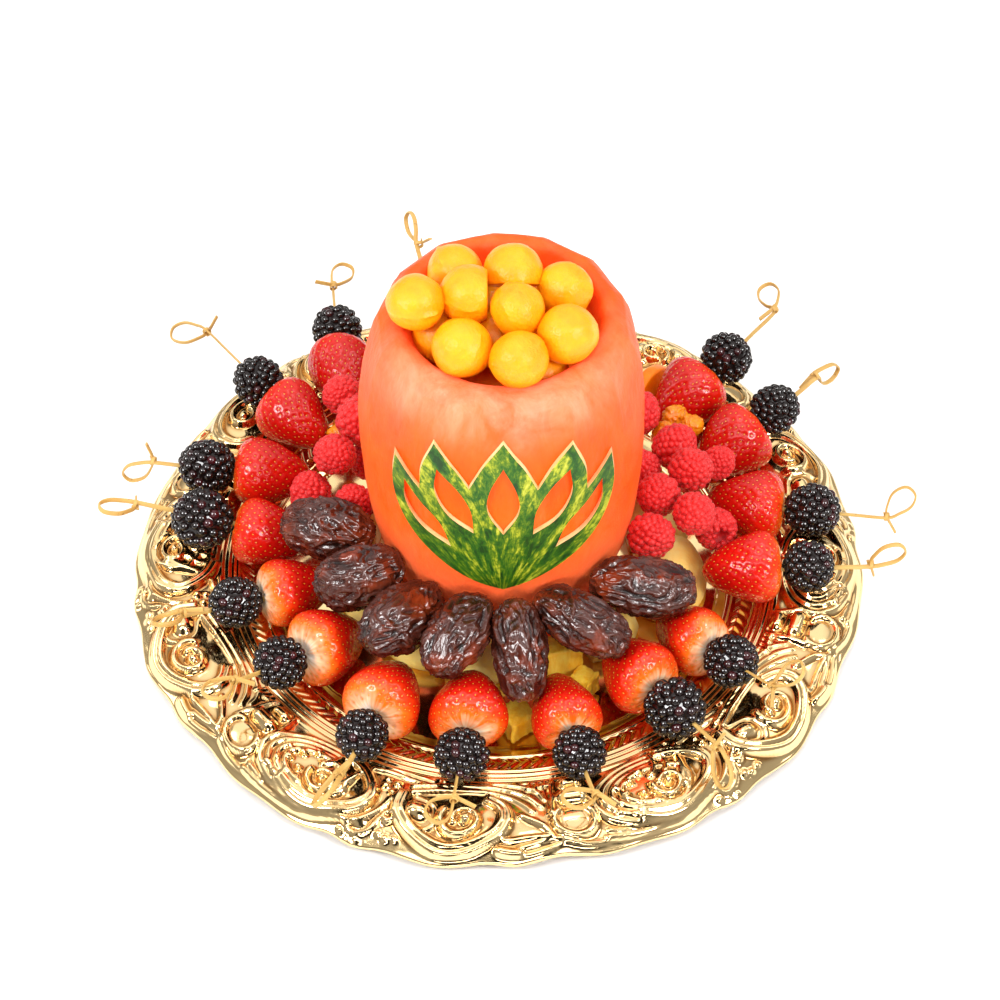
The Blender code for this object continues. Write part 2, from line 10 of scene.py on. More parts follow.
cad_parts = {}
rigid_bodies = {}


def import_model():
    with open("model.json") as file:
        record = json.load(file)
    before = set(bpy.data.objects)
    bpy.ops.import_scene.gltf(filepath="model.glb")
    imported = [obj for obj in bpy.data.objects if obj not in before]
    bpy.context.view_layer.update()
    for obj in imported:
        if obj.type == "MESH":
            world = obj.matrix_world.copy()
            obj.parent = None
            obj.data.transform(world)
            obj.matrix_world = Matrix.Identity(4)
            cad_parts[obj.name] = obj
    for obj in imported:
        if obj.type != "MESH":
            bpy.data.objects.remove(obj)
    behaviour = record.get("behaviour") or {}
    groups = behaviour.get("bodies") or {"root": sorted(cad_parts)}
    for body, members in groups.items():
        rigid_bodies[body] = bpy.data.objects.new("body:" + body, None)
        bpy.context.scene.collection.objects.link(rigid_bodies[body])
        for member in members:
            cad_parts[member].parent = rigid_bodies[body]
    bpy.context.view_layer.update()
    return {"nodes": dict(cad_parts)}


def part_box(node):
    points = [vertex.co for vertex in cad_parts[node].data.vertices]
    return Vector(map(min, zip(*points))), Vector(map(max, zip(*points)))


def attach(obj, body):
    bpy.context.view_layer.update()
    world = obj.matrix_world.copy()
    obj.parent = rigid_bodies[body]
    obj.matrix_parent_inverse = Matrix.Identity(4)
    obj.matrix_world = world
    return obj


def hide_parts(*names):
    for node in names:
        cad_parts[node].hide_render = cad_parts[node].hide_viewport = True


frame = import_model()
print("frame loaded,", len(frame["nodes"]), "nodes")

mm = 0.001
fullTurn = 2 * math.pi
goldenAngle = math.radians(137.508)   # seeds and beads wind round a fruit by it


# small tools for every piece

def clearSelection():
    bpy.ops.object.select_all(action="DESELECT")


def addShape(addIt, name=None, **sizes):  # adds a primitive with nothing else selected
    clearSelection()
    addIt(**sizes)
    made = bpy.context.object
    made.name = name or made.name
    return made


def useOnly(piece):
    clearSelection()
    piece.select_set(True)
    bpy.context.view_layer.objects.active = piece


def editAll(piece):
    useOnly(piece)
    bpy.ops.object.mode_set(mode="EDIT")
    bpy.ops.mesh.select_all(action="SELECT")


def leaveEdit():
    bpy.ops.object.mode_set(mode="OBJECT")


def turnOutwards(piece):
    editAll(piece)
    bpy.ops.mesh.normals_make_consistent(inside=False)
    leaveEdit()


def pointsOf(piece):
    flat = np.empty(len(piece.data.vertices) * 3)
    piece.data.vertices.foreach_get("co", flat)
    return flat.reshape(-1, 3)


def normalsOf(piece):
    return np.array([v.normal for v in piece.data.vertices])


def setPoints(piece, points):
    piece.data.vertices.foreach_set("co", np.asarray(points, float).ravel())
    piece.data.update()


def paint(piece, name, values):  # a number for each point, which materials read by its name
    layer = piece.data.attributes.get(name) or piece.data.attributes.new(name, "FLOAT", "POINT")
    layer.data.foreach_set("value", np.asarray(values, float))


def smooth(piece, degrees=None):
    useOnly(piece)
    if degrees is None:
        bpy.ops.object.shade_smooth()
    else:
        bpy.ops.object.shade_smooth_by_angle(angle=math.radians(degrees))


def lathe(name, profile, steps, angle=fullTurn, closed=False, start=0.0, repeats=1):
    piece = addShape(bpy.ops.mesh.primitive_circle_add, name, vertices=len(profile), radius=0.01)
    for corner, (r, z) in zip(piece.data.vertices, profile):
        corner.co = (r * mm * math.cos(start), r * mm * math.sin(start), z * mm)
    bpy.ops.object.mode_set(mode="EDIT")
    bpy.ops.mesh.select_mode(type="EDGE")
    if not closed:  # the circle is opened between its last and first points
        bpy.ops.mesh.select_all(action="DESELECT")
        leaveEdit()
        ends = {0, len(profile) - 1}
        for edge in piece.data.edges:
            edge.select = set(edge.vertices) == ends
        bpy.ops.object.mode_set(mode="EDIT")
        bpy.ops.mesh.delete(type="EDGE_FACE")
    bpy.ops.mesh.select_mode(type="VERT")
    bpy.ops.mesh.select_all(action="SELECT")
    bpy.ops.mesh.spin(steps=steps // repeats, angle=angle / repeats, center=(0, 0, 0), axis=(0, 0, 1))
    if repeats > 1:  # a long spin is slow, so one part of it is turned round and joined
        leaveEdit()
        turns = [Matrix.Rotation(angle * k / repeats, 4, "Z") for k in range(1, repeats)]
        joined([piece] + [copyOf(piece, name, turn) for turn in turns], name)
        editAll(piece)
    bpy.ops.mesh.select_all(action="SELECT")
    bpy.ops.mesh.remove_doubles(threshold=0.000002)
    bpy.ops.mesh.normals_make_consistent(inside=False)
    leaveEdit()
    return piece


def copyOf(piece, name, matrix):
    twin = piece.copy()
    twin.data = piece.data.copy()
    twin.name = name
    bpy.context.scene.collection.objects.link(twin)
    twin.data.transform(matrix)
    return twin


def joined(pieces, name):
    clearSelection()
    for piece in pieces:
        piece.select_set(True)
    bpy.context.view_layer.objects.active = pieces[0]
    bpy.ops.object.join()
    pieces[0].name = name
    pieces[0].data.name = name
    return pieces[0]


def discard(*pieces):
    for piece in pieces:
        bpy.data.objects.remove(piece)


def applyModifiers(piece):
    useOnly(piece)
    for modifier in list(piece.modifiers):
        bpy.ops.object.modifier_apply(modifier=modifier.name)


def bevelEdges(piece, width, segments, degrees):  # rounds the edges that are sharper than the degrees
    edge = piece.modifiers.new("edge", "BEVEL")
    edge.width = width * mm
    edge.segments = segments
    edge.limit_method = "ANGLE"
    edge.angle_limit = math.radians(degrees)
    applyModifiers(piece)


def placed(place, turn=Matrix()):  # turns a piece and carries it to a place in mm
    return Matrix.Translation(Vector(place) * mm) @ turn


def turnBy(x, y, z):
    return Euler((x, y, z)).to_matrix().to_4x4()


def pointing(way, along="X", up="Z"):  # turns a piece so that its own axis looks along the way
    return Vector(way).to_track_quat(along, up).to_matrix().to_4x4()


def dress(piece, material, slotName, *nodes):
    if material is not None:
        piece.data.materials.clear()
        piece.data.materials.append(material)
    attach(piece, "root")
    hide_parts(*nodes)


def noiseAt(points, scale, shift=(0, 0, 0)):
    return np.array([noise.noise(Vector(p) * scale + Vector(shift)) for p in points])


def fractalAt(points, scale, shift, roughness, gap, layers):
    return np.array([noise.fractal(Vector(p) * scale + Vector(shift), roughness, gap, layers) for p in points])


def ringOf(turn):  # points of a unit circle, for noise that closes on itself round a fruit
    return np.stack([np.cos(turn), np.sin(turn), np.zeros(len(turn))], axis=1)


def nearestIn(points):
    tree = KDTree(len(points))
    for k, p in enumerate(points):
        tree.insert(p, k)
    tree.balance()
    return tree.find


def curveThrough(points, count):  # an even smooth line through the given points
    points = np.asarray(points, float)
    ends = np.vstack([2 * points[0] - points[1], points, 2 * points[-1] - points[-2]])
    made = []
    for k in range(len(points) - 1):
        a, b, c, d = ends[k:k + 4]
        for t in np.linspace(0, 1, 12, endpoint=k == len(points) - 2):
            made.append(0.5 * (2 * b + (c - a) * t + (2 * a - 5 * b + 4 * c - d) * t * t
                               + (3 * b - a - 3 * c + d) * t ** 3))
    made = np.array(made)
    along = np.concatenate([[0], np.cumsum(np.linalg.norm(np.diff(made, axis=0), axis=1))])
    wanted = np.linspace(0, along[-1], count)
    return np.stack([np.interp(wanted, along, made[:, k]) for k in range(made.shape[1])], axis=1)


def ease(x, low, high):
    t = np.clip((np.asarray(x, float) - low) / (high - low), 0, 1)
    return t * t * (3 - 2 * t)


# material tools

def linear(red, green, blue):  # screen colour 0..255 to Blender's linear colour
    made = []
    for value in (red, green, blue):
        share = value / 255
        made.append(share / 12.92 if share <= 0.04045 else ((share + 0.055) / 1.055) ** 2.4)
    return (*made, 1.0)


def mixTriple(first, second, share):
    return tuple(a + (b - a) * share for a, b in zip(first, second))


def addNode(tree, kind, inputs=None, **settings):
    node = tree.nodes.new(kind)
    for key, value in settings.items():
        setattr(node, key, value)
    for key, value in (inputs or {}).items():
        if isinstance(value, bpy.types.NodeSocket):
            tree.links.new(value, node.inputs[key])
        else:
            node.inputs[key].default_value = value
    return node


def newMaterial(name, sockets):
    material = bpy.data.materials.new(name)
    material.use_nodes = True
    tree = material.node_tree
    shader = next(n for n in tree.nodes if n.type == "BSDF_PRINCIPLED")
    for key, value in sockets.items():
        shader.inputs[key].default_value = value
    return material, tree, shader


def juicyMaterial(name, roughness, gloss, depth, reach):  # a share of the light sinks in, by a reach in metres
    return newMaterial(name, {
        "Roughness": roughness, "Specular IOR Level": gloss,
        "Subsurface Weight": depth, "Subsurface Radius": reach, "Subsurface Scale": 1.0})


def colourRamp(tree, factor, stops):
    node = addNode(tree, "ShaderNodeValToRGB", {"Fac": factor})
    while len(node.color_ramp.elements) < len(stops):
        node.color_ramp.elements.new(0.5)
    for element, (place, colour) in zip(node.color_ramp.elements, stops):
        element.position = place
        element.color = colour
    return node.outputs["Color"]


def mixColour(tree, factor, first, second, blend="MIX"):
    inputs = {0: factor, 6: first, 7: second}
    return addNode(tree, "ShaderNodeMix", inputs, data_type="RGBA", blend_type=blend).outputs[2]


def mathNode(tree, operation, first, second=0.0, clamp=False):
    node = addNode(tree, "ShaderNodeMath", {0: first, 1: second}, operation=operation, use_clamp=clamp)
    return node.outputs[0]


def times(tree, value, share):
    return mathNode(tree, "MULTIPLY", value, share)


def sumOf(tree, first, *others):  # adds up values, each with its share
    total = times(tree, *first)
    for other in others:
        total = mathNode(tree, "ADD", total, times(tree, *other))
    return total


def spreadValue(tree, value, low, high, toLow=0.0, toHigh=1.0, curve="LINEAR"):
    inputs = {0: value, 1: low, 2: high, 3: toLow, 4: toHigh}
    return addNode(tree, "ShaderNodeMapRange", inputs, interpolation_type=curve).outputs[0]


def stretched(tree, place, x, y, z):
    return addNode(tree, "ShaderNodeMapping", {"Vector": place, "Scale": (x, y, z)}).outputs[0]


def colourFrom(shader, colour):
    shader.id_data.links.new(colour, shader.inputs["Base Color"])


def roughnessFrom(shader, value):
    shader.id_data.links.new(value, shader.inputs["Roughness"])


def bumpInto(tree, shader, height, distance, strength=1.0):
    node = addNode(tree, "ShaderNodeBump", {"Height": height, "Distance": distance, "Strength": strength})
    tree.links.new(node.outputs["Normal"], shader.inputs["Normal"])


def attributeValue(tree, name):
    return addNode(tree, "ShaderNodeAttribute", attribute_name=name).outputs["Fac"]


def objectPlace(tree):
    return addNode(tree, "ShaderNodeTexCoord").outputs["Object"]


def noiseValue(tree, place, scale, detail=4.0, roughness=0.55, distortion=0.0):
    inputs = {"Vector": place, "Scale": scale, "Detail": detail, "Roughness": roughness,
              "Distortion": distortion}
    return addNode(tree, "ShaderNodeTexNoise", inputs).outputs["Fac"]


def makeMottleGroup():  # soft blotches of two colours, broad and fine
    group = bpy.data.node_groups.new("softMottle", "ShaderNodeTree")
    face = group.interface
    for name in ("Deep", "Pale"):
        face.new_socket(name, in_out="INPUT", socket_type="NodeSocketColor")
    for name, value in (("Scale", 60.0), ("Stretch", 1.0), ("Amount", 1.0), ("Bias", 0.5)):
        face.new_socket(name, in_out="INPUT", socket_type="NodeSocketFloat").default_value = value
    face.new_socket("Color", in_out="OUTPUT", socket_type="NodeSocketColor")
    face.new_socket("Height", in_out="OUTPUT", socket_type="NodeSocketFloat")
    start = addNode(group, "NodeGroupInput").outputs
    stretch = addNode(group, "ShaderNodeCombineXYZ", {0: 1.0, 1: 1.0, 2: start["Stretch"]}).outputs[0]
    place = {0: objectPlace(group), 1: stretch}
    place = addNode(group, "ShaderNodeVectorMath", place, operation="MULTIPLY").outputs[0]
    broad = noiseValue(group, place, start["Scale"], 3.0, 0.5, 0.6)
    fine = noiseValue(group, place, times(group, start["Scale"], 5.3), 4.0, 0.6, 0.4)
    both = sumOf(group, (broad, 0.68), (fine, 0.32))
    low = mathNode(group, "SUBTRACT", start["Bias"], 0.16)
    high = mathNode(group, "ADD", start["Bias"], 0.2)
    share = spreadValue(group, both, low, high)
    share = mathNode(group, "MULTIPLY", share, start["Amount"], clamp=True)
    end = addNode(group, "NodeGroupOutput")
    group.links.new(mixColour(group, share, start["Deep"], start["Pale"]), end.inputs["Color"])
    group.links.new(both, end.inputs["Height"])
    return group


mottleGroup = makeMottleGroup()


def mottle(tree, deep, pale, scale, stretch=1.0, amount=1.0, bias=0.5):
    inputs = {"Deep": deep, "Pale": pale, "Scale": scale, "Stretch": stretch, "Amount": amount, "Bias": bias}
    node = addNode(tree, "ShaderNodeGroup", inputs, node_tree=mottleGroup)
    return node.outputs["Color"], node.outputs["Height"]


# camera, light and floor

studio = {
    "elevation": 48.256,
    "distance": 1.5,
    "target": (0.0007, 0.0506, 0.0),
    "lens": 107.2,
    "sensor": 36,
    "nearest": 0.05,
    "roomTones": (           # by height, from the floor's level up
        (0.0, (0.6, 0.6, 0.6, 1)), (0.3, (0.42, 0.42, 0.42, 1)),
        (0.55, (0.48, 0.48, 0.47, 1)), (0.8, (0.5, 0.5, 0.49, 1))),
    "roomStrength": 0.9,
    "brightWay": (0.0, 0.42, 0.907),     # a bright ceiling patch behind the tray, which the flat gold mirrors
    "brightReach": (0.70, 0.86, 0.0, 1.0),
    "brightTone": (1.45, 1.43, 1.4, 1),
    "darkWay": (0.0, -0.883, 0.469),     # the room behind the camera is dark
    "darkReach": (0.87, 0.94, 0.0, 0.96),
    "darkTone": (0.02, 0.02, 0.02, 1),
    "floorSize": 14.0,
    "floorDrop": 0.0003,
    "floorTones": ((0.93, 0.93, 0.925, 1), (0.955, 0.955, 0.95, 1)),
}

softboxes = (  # azimuth and elevation as seen from the tray, distance, width, height, power
    ("softboxTop", 180, 80, 1.7, 0.6, 0.5, 3),
    ("softboxLeft", -52, 40, 1.5, 0.40, 0.40, 13),
    ("softboxRight", 48, 38, 1.5, 0.40, 0.40, 12),
    ("softboxFront", 0, 62, 1.9, 1.3, 0.7, 8.5),
    ("softboxLow", 0, 17, 1.7, 1.2, 0.16, 5),
    ("softboxSideL", -105, 36, 1.8, 0.4, 1.1, 5),
    ("softboxSideR", 104, 40, 1.8, 0.4, 1.1, 5),
)

shineBoxes = {  # each lights one kind of piece alone: sparkle on beads and folds, and a fill on the bowl's foot
    "darkBerry": (("berryShineLeft", -58, 48, 1.3, 0.6, 0.6, 34),
                  ("berryShineRight", 50, 48, 1.3, 0.6, 0.6, 34)),
    "date": (("dateShineLeft", -50, 52, 1.3, 0.34, 0.34, 10),
             ("dateShineRight", 30, 44, 1.3, 0.34, 0.34, 10)),
    # with its spread and the height it faces
    "melonBowl": (("bowlFill", 0, 35, 0.36, 0.30, 0.05, 0.07, 35, 0.0),),
}


def addCamera():
    tilt = math.radians(studio["elevation"])
    forward = Vector((0, math.cos(tilt), -math.sin(tilt)))
    place = Vector(studio["target"]) - forward * studio["distance"]
    bpy.ops.object.camera_add(location=place, rotation=forward.to_track_quat("-Z", "Y").to_euler())
    made = bpy.context.object
    made.name = "camera"
    made.data.lens = studio["lens"]
    made.data.sensor_width = studio["sensor"]
    made.data.clip_start = studio["nearest"]
    bpy.context.scene.camera = made


def addSoftbox(name, azimuth, elevation, distance, wide, high, power, spread=180, aim=0.06):
    a, e = math.radians(azimuth), math.radians(elevation)
    back = Vector((math.sin(a) * math.cos(e), -math.cos(a) * math.cos(e), math.sin(e)))
    bpy.ops.object.light_add(type="AREA", location=back * distance + Vector((0, 0, aim)),
                             rotation=(-back).to_track_quat("-Z", "Y").to_euler())
    lamp = bpy.context.object
    lamp.name = name
    lamp.data.shape = "RECTANGLE"
    lamp.data.size = wide
    lamp.data.size_y = high
    lamp.data.energy = power
    lamp.data.spread = math.radians(spread)
    lamp.visible_camera = spread == 180
    return lamp


def addShine():
    for start, rows in shineBoxes.items():
        lit = bpy.data.collections.new(start + "Shine")
        for item in bpy.data.objects:
            if item.type == "MESH" and item.name.startswith(start) and "_" not in item.name:
                lit.objects.link(item)
        for row in rows:
            addSoftbox(*row).light_linking.receiver_collection = lit


def addRoom():
    world = bpy.data.worlds.new("studioRoom")
    world.use_nodes = True
    bpy.context.scene.world = world
    tree = world.node_tree
    shade = next(n for n in tree.nodes if n.type == "BACKGROUND")
    place = addNode(tree, "ShaderNodeTexCoord").outputs["Generated"]
    up = addNode(tree, "ShaderNodeSeparateXYZ", {0: place})
    tone = colourRamp(tree, up.outputs["Z"], studio["roomTones"])
    for word in ("bright", "dark"):
        ways = {0: place, 1: studio[word + "Way"]}
        facing = addNode(tree, "ShaderNodeVectorMath", ways, operation="DOT_PRODUCT")
        patch = spreadValue(tree, facing.outputs["Value"], *studio[word + "Reach"], curve="SMOOTHSTEP")
        tone = mixColour(tree, patch, tone, studio[word + "Tone"])
    tree.links.new(tone, shade.inputs["Color"])
    shade.inputs["Strength"].default_value = studio["roomStrength"]


def addFloor():
    floor = addShape(bpy.ops.mesh.primitive_plane_add, "floor", size=studio["floorSize"], location=(0, 0, 0))
    setPoints(floor, pointsOf(floor) - np.array((0, 0, studio["floorDrop"])))
    material, tree, shader = newMaterial("paleFloor", {"Roughness": 0.9, "Specular IOR Level": 0.1})
    colourFrom(shader, mottle(tree, *studio["floorTones"], 3.0)[0])
    floor.data.materials.append(material)


addCamera()
for row in softboxes:
    addSoftbox(*row)
addRoom()
addFloor()
bpy.context.scene.view_settings.view_transform = "Standard"
print("camera, lights and floor ready")


# the tray: a spun dish whose rim carries a six-fold relief of scrolls

tray = {
    "ruler": 152.0,          # radius at which degrees round the rim are turned into mm
    "swells": (              # degrees round the rim and radius, length and width, height
        (24.0, 159, 15, 9, 1.0), (58.0, 156, 20, 12, 1.4), (16.4, 157, 5, 6, 0.8), (34.0, 163.5, 7, 4, -1.1),
        (28.6, 158, 4, 6, -0.8), (48.5, 142, 6, 4, -0.8), (9.8, 158, 4, 6, -1.2), (20.0, 148.0, 5, 2.5, -0.8),
        (12.0, 140, 6, 3, -0.5), (38.6, 172.5, 4, 2, -0.8)),
    "edge": ((4.4, 176.0), (7.5, 179.0), (12.8, 176.3), (21.1, 179.4), (28.7, 175.6), (32.1, 177.6),
             (39.1, 174.2), (46.1, 177.2), (52.0, 176.8), (58.8, 178.7)),   # degrees and radius
    "rimStart": 134.0,
    "rimWidth": 43.0,
    "rimSteps": 1296,
    "rimRows": 62,
    "turnedUnder": (         # share of the width, and the drop below the top
        (1.004, -0.9), (1.002, -1.7), (0.985, -1.9), (0.93, -1.9), (0.85, -1.6)),
    "wellSteps": 1320,
    "softening": 1,
    "relief": 1.2,
    "hollowBlur": 9,
    "hollowDepth": 0.55,     # how far below its neighbours a place counts as a full hollow, which gets the full painted shade
    "bead": (135.2, 0.9, 0.9),      # radius, half width and height, of the reeds too
    "reeds": ((115.6, 1.0, 1.0), (126.8, 1.2, 1.1), (129.3, 1.1, 0.8), (132.0, 1.3, 1.1)),
    "rope": {"count": 138, "radius": 121.0, "half": 4.4, "bend": 119.6},
    "top": ((0, 3), (104, 3), (109, 3.6), (112, 6.4), (117, 6.6), (122, 8.6), (127, 10.8), (132, 11.0),
            (140, 13.2), (150, 15.4), (160, 15.8), (168, 13.6), (173, 10.6), (178, 7.0)),   # radius and height
    "back": ((0, 0.4), (60, 0.3), (98, 0.3), (101, 0), (107, 0), (110, 0.9), (116, 3.3), (124, 6.6),
             (130, 8.9), (140, 11.0), (150, 13.1), (160, 13.2), (167, 11.2), (172, 9.3)),
    "backSteps": 432,
    "gold": linear(246, 213, 155),
    # painted shade: the darker brown gold that the relief's hollows are mixed toward
    "shade": linear(168, 110, 44),
}


def trayEdge(turn):  # the lobed edge, the same in each sixth
    places, radii = zip(*tray["edge"])
    places = np.concatenate([np.array(places) - 60, places, np.array(places) + 60])
    share = np.mod(np.asarray(turn, float), 60)
    return sum(np.interp(share + d, places, radii * 3) for d in (-1.6, -0.8, 0.0, 0.8, 1.6)) / 5


def trayHeight(r):
    radii, heights = zip(*tray["top"])
    return sum(np.interp(r + d, radii, heights) for d in (-2.0, -1.0, 0.0, 1.0, 2.0)) / 5


def rimOrnaments():  # ridges of one sixth of the rim: points are degrees round it and radius, the rest is mm
    made = []
    perDegree = math.radians(1) * tray["ruler"]

    def ridge(points, wide, tall, endWide=None, endTall=None, power=0.8):
        line = np.asarray(points, float) * (perDegree, 1.0)
        made.append((line, wide, endWide or wide, tall, endTall or tall, power))

    def band(points, wide, tall, endWide=None, endTall=None, strands=(0.0,)):
        line = curveThrough(np.asarray(points, float) * (perDegree, 1.0), 44)
        step = np.gradient(line, axis=0)
        step /= np.linalg.norm(step, axis=1)[:, None]
        side = np.stack([-step[:, 1], step[:, 0]], axis=1)
        for shift in strands:
            ridge((line + side * shift) / (perDegree, 1.0), wide, tall, endWide, endTall)

    def dome(u, v, wide, tall, stretch=0.1, power=0.8):
        ridge([(u - stretch / perDegree, v), (u + stretch / perDegree, v)], wide, tall, power=power)

    def domes(places, tall, stretch=0.1):
        for u, v, wide in places:
            dome(u, v, wide, tall, stretch)

    def arc(centre, across, up, first, last, wide, tall, endWide=None, endTall=None, shrink=1.0):
        turns = np.radians(np.linspace(first, last, 44))
        grow = np.linspace(1, shrink, 44)
        x, y = centre[0] + grow * across * np.cos(turns) / perDegree, centre[1] + grow * up * np.sin(turns)
        ridge(np.stack([x, y], axis=1), wide, tall, endWide, endTall)

    # plain scroll: a C band round a ring that winds in to a button
    band([(13.3, 149.5), (13.4, 159.5), (16.2, 167.4), (21, 171.9), (25.6, 171.4), (29.2, 166.6), (31, 159),
          (30.6, 151.5), (28, 146.4)], 2.3, 3.6, 1.6, 2.4, (-1.4, 1.7))
    arc((24.0, 158.8), 9.8, 8.8, 215, -190, 2.0, 3.0, 1.2, 3.2, 0.42)
    dome(24.6, 158.6, 3.0, 3.6)
    band([(14.4, 163.8), (17.6, 165.8), (19.6, 161), (19.2, 152.5), (15.5, 149)], 0.9, 1.7, 0.7, 1.2)
    dome(16.4, 157.0, 4.6, 3.0, 1.4)
    # long flutes that run under it and up to the boss
    band([(14.6, 147.6), (19.6, 142.8), (26, 141.3), (31, 143.8), (34, 149), (35.8, 154.8)], 1.6, 2.4, 1.0, 1.4)
    band([(14.4, 143.6), (20, 139.4), (26.5, 138), (32, 140.2), (35.4, 145.4), (37.4, 152.6)], 1.5, 2.3, 1, 1.4)
    band([(19.5, 136.6), (27, 135.6), (33.4, 137.2), (37.0, 142), (38.2, 148.6)], 1.4, 2.0, 0.9, 1.2)
    for k in range(4):
        rib = [(35.4 + 1.25 * k, 140.6 - 0.5 * k), (35.9 + 1.3 * k, 138), (36.3 + 1.35 * k, 135.4)]
        band(rib, 1.1, 1.7, 0.9, 1.2)
    # three-cornered panel, and the pod and leaf on the edge outside it
    band([(38.5, 169.2), (37.1, 163), (33.7, 156.2)], 1.1, 2.1)
    band([(30.6, 168.4), (34.2, 167.4), (38.5, 169.4)], 1.0, 1.9)
    ridge([(30.2, 173.3), (33.0, 174.0)], 2.6, 2.8)
    band([(33.6, 175.2), (36.5, 174.8), (40.6, 172.2)], 1.7, 2.2, 0.8, 1.2)
    band([(33.2, 171.4), (36.5, 170.8), (40.2, 170.6)], 0.9, 1.6)
    band([(40.4, 171.8), (43.2, 173.4), (46.6, 173.4)], 1.5, 2.0, 0.9, 1.4)
    # boss: a flat disc in a collar, two full bulges below it and a leg on each side
    arc((42.4, 162.3), 8.7, 7.7, -48, 228, 1.6, 3.0)
    dome(42.4, 162.3, 6.6, 1.3, power=0.2)
    ridge([(41.6, 149.2), (44.2, 149.2)], 5.0, 4.2)
    ridge([(42.6, 139.6), (44.4, 139.6)], 3.6, 3.4)
    band([(38.9, 158), (39.4, 150), (39.6, 143), (40.2, 136.4)], 1.8, 2.7, 1.3, 1.8)
    band([(46.2, 157.5), (46.6, 150), (46.4, 143), (46.0, 136.4)], 1.4, 2.3, 1.0, 1.6)
    # leaf scroll: a fluted fan with eyes, a volute, and a broad smooth band on its far side
    fan = ((29.5, 17.3, 92, 300), (25.0, 14.6, 96, 296), (20.6, 11.9, 84, 288), (16.2, 9.6, 100, 300))
    for k, flute in enumerate(fan):
        arc((57.4, 155.2), *flute, 2.15, 2.5 + 0.3 * k, 1.2, 1.4)
    domes(((49.6, 164.6, 1.5), (51.8, 166.8, 1.4), (50.4, 160.4, 1.3), (53.4, 163.6, 1.6), (52.0, 156.4, 1.4),
           (54.0, 167.6, 1.2), (54.6, 158.6, 1.3), (53.4, 150.6, 1.4), (50.6, 151.6, 1.2), (55.8, 146.6, 1.4)),
          3.7, 0.5)
    arc((59.3, 157.6), 7.4, 6.6, 200, -150, 1.5, 3.3, 1.1, 3.4, 0.55)
    dome(59.4, 157.6, 2.2, 4.2)
    arc((59.3, 157.0), 11.2, 9.6, 150, -60, 1.3, 2.9, 1.0, 2.0)
    band([(53.0, 168.0), (56.2, 170.4), (60.2, 170.6), (64.2, 168), (67, 162.4), (68.2, 155), (67, 148),
          (64.4, 142.2), (61, 138.4)], 2.5, 3.8, 1.5, 2.4, (0.9, -1.9))
    ridge([(61.8, 161.0), (63.2, 153.5), (64.0, 147.0)], 3.4, 2.6, 1.6, 2.0)
    band([(57.6, 150.4), (59.2, 145.4), (59.6, 139.6)], 1.4, 2.4, 1.0, 1.6)
    band([(60.4, 151.4), (61.6, 146.0), (61.2, 140.0)], 1.3, 2.2, 0.9, 1.4)
    band([(46.8, 172.2), (52, 174.4), (58, 174.4), (63.2, 172.4), (67.6, 168.0), (70.4, 161), (71.8, 152.4)],
         1.4, 2.2, 1.2, 2.8)
    band([(47.2, 169.4), (51, 171.9), (56.5, 172.2)], 1.0, 1.8, 0.7, 1.2)
    # drop panel, curl and shells on the edge, then the leaves that lead to the next scroll
    band([(65.4, 170.6), (67.4, 173.0), (69.8, 170.6), (70.8, 164.6)], 1.0, 2.0, 0.8, 1.6)
    dome(68.1, 168.6, 2.6, 1.6, 0.4)
    arc((71.9, 163.6), 3.0, 2.8, 90, -300, 1.0, 2.6, 0.8, 2.4, 0.4)
    domes(((65.6, 174.9, 1.6), (67.0, 176.3, 1.8), (68.4, 175.6, 1.5), (71.4, 171.6, 1.3), (72.6, 173.2, 1.5),
           (74.0, 172.4, 1.2)), 2.2)
    band([(72.5, 160.4), (73.0, 152), (75.4, 146), (79.4, 143.4)], 1.6, 2.6, 1.0, 1.6)
    band([(65.8, 139.8), (70, 138.4), (75.6, 140.2), (80, 142.4)], 1.4, 2.2, 0.9, 1.4)
    band([(64.6, 136.2), (70, 135.6), (78, 137.0)], 1.1, 1.7, 0.8, 1.0)
    domes(((69.6, 147.2, 1.9), (71.2, 150.4, 1.4), (71.5, 144.8, 1.7), (69.4, 143.0, 1.2)), 2.6)
    return made


def softSwells(u, v):  # broad rises and hollows under the ridges, so that no field stays flat
    height = np.zeros(len(u))
    perDegree = math.radians(1) * tray["ruler"]
    for place, radius, wide, high, amount in tray["swells"]:
        away = np.abs(u - place * perDegree)
        away = np.minimum(away, 60 * perDegree - away)
        height += amount * np.exp(-(away / wide) ** 2 - ((v - radius) / high) ** 2)
    return height


def reliefOver(u, v):  # height of the ornament at points of one repeat, wrapped to its neighbours
    span = math.radians(60) * tray["ruler"]
    height = np.zeros(len(u))
    for points, wide, endWide, tall, endTall, power in rimOrnaments():
        shares = np.linspace(0, 1, len(points))
        for shift in (-span, 0.0, span):
            line = points + np.array((shift, 0.0))
            low, high = line.min(0) - wide - endWide, line.max(0) + wide + endWide
            near = np.nonzero((u > low[0]) & (u < high[0]) & (v > low[1]) & (v < high[1]))[0]
            if not len(near):
                continue
            a, b = line[:-1], line[1:]
            step = b - a
            long = np.maximum((step ** 2).sum(1), 1e-9)
            du, dv = u[near, None] - a[None, :, 0], v[near, None] - a[None, :, 1]
            t = np.clip((du * step[None, :, 0] + dv * step[None, :, 1]) / long, 0, 1)
            away = np.hypot(du - t * step[None, :, 0], dv - t * step[None, :, 1])
            best = away.argmin(1)
            row = np.arange(len(near))
            share = shares[best] + t[row, best] / (len(points) - 1)
            half = wide + (endWide - wide) * share
            peak = tall + (endTall - tall) * share
            rise = peak * np.clip(1 - (away[row, best] / half) ** 2, 0, 1) ** power
            height[near] = np.maximum(height[near], rise)
    return height


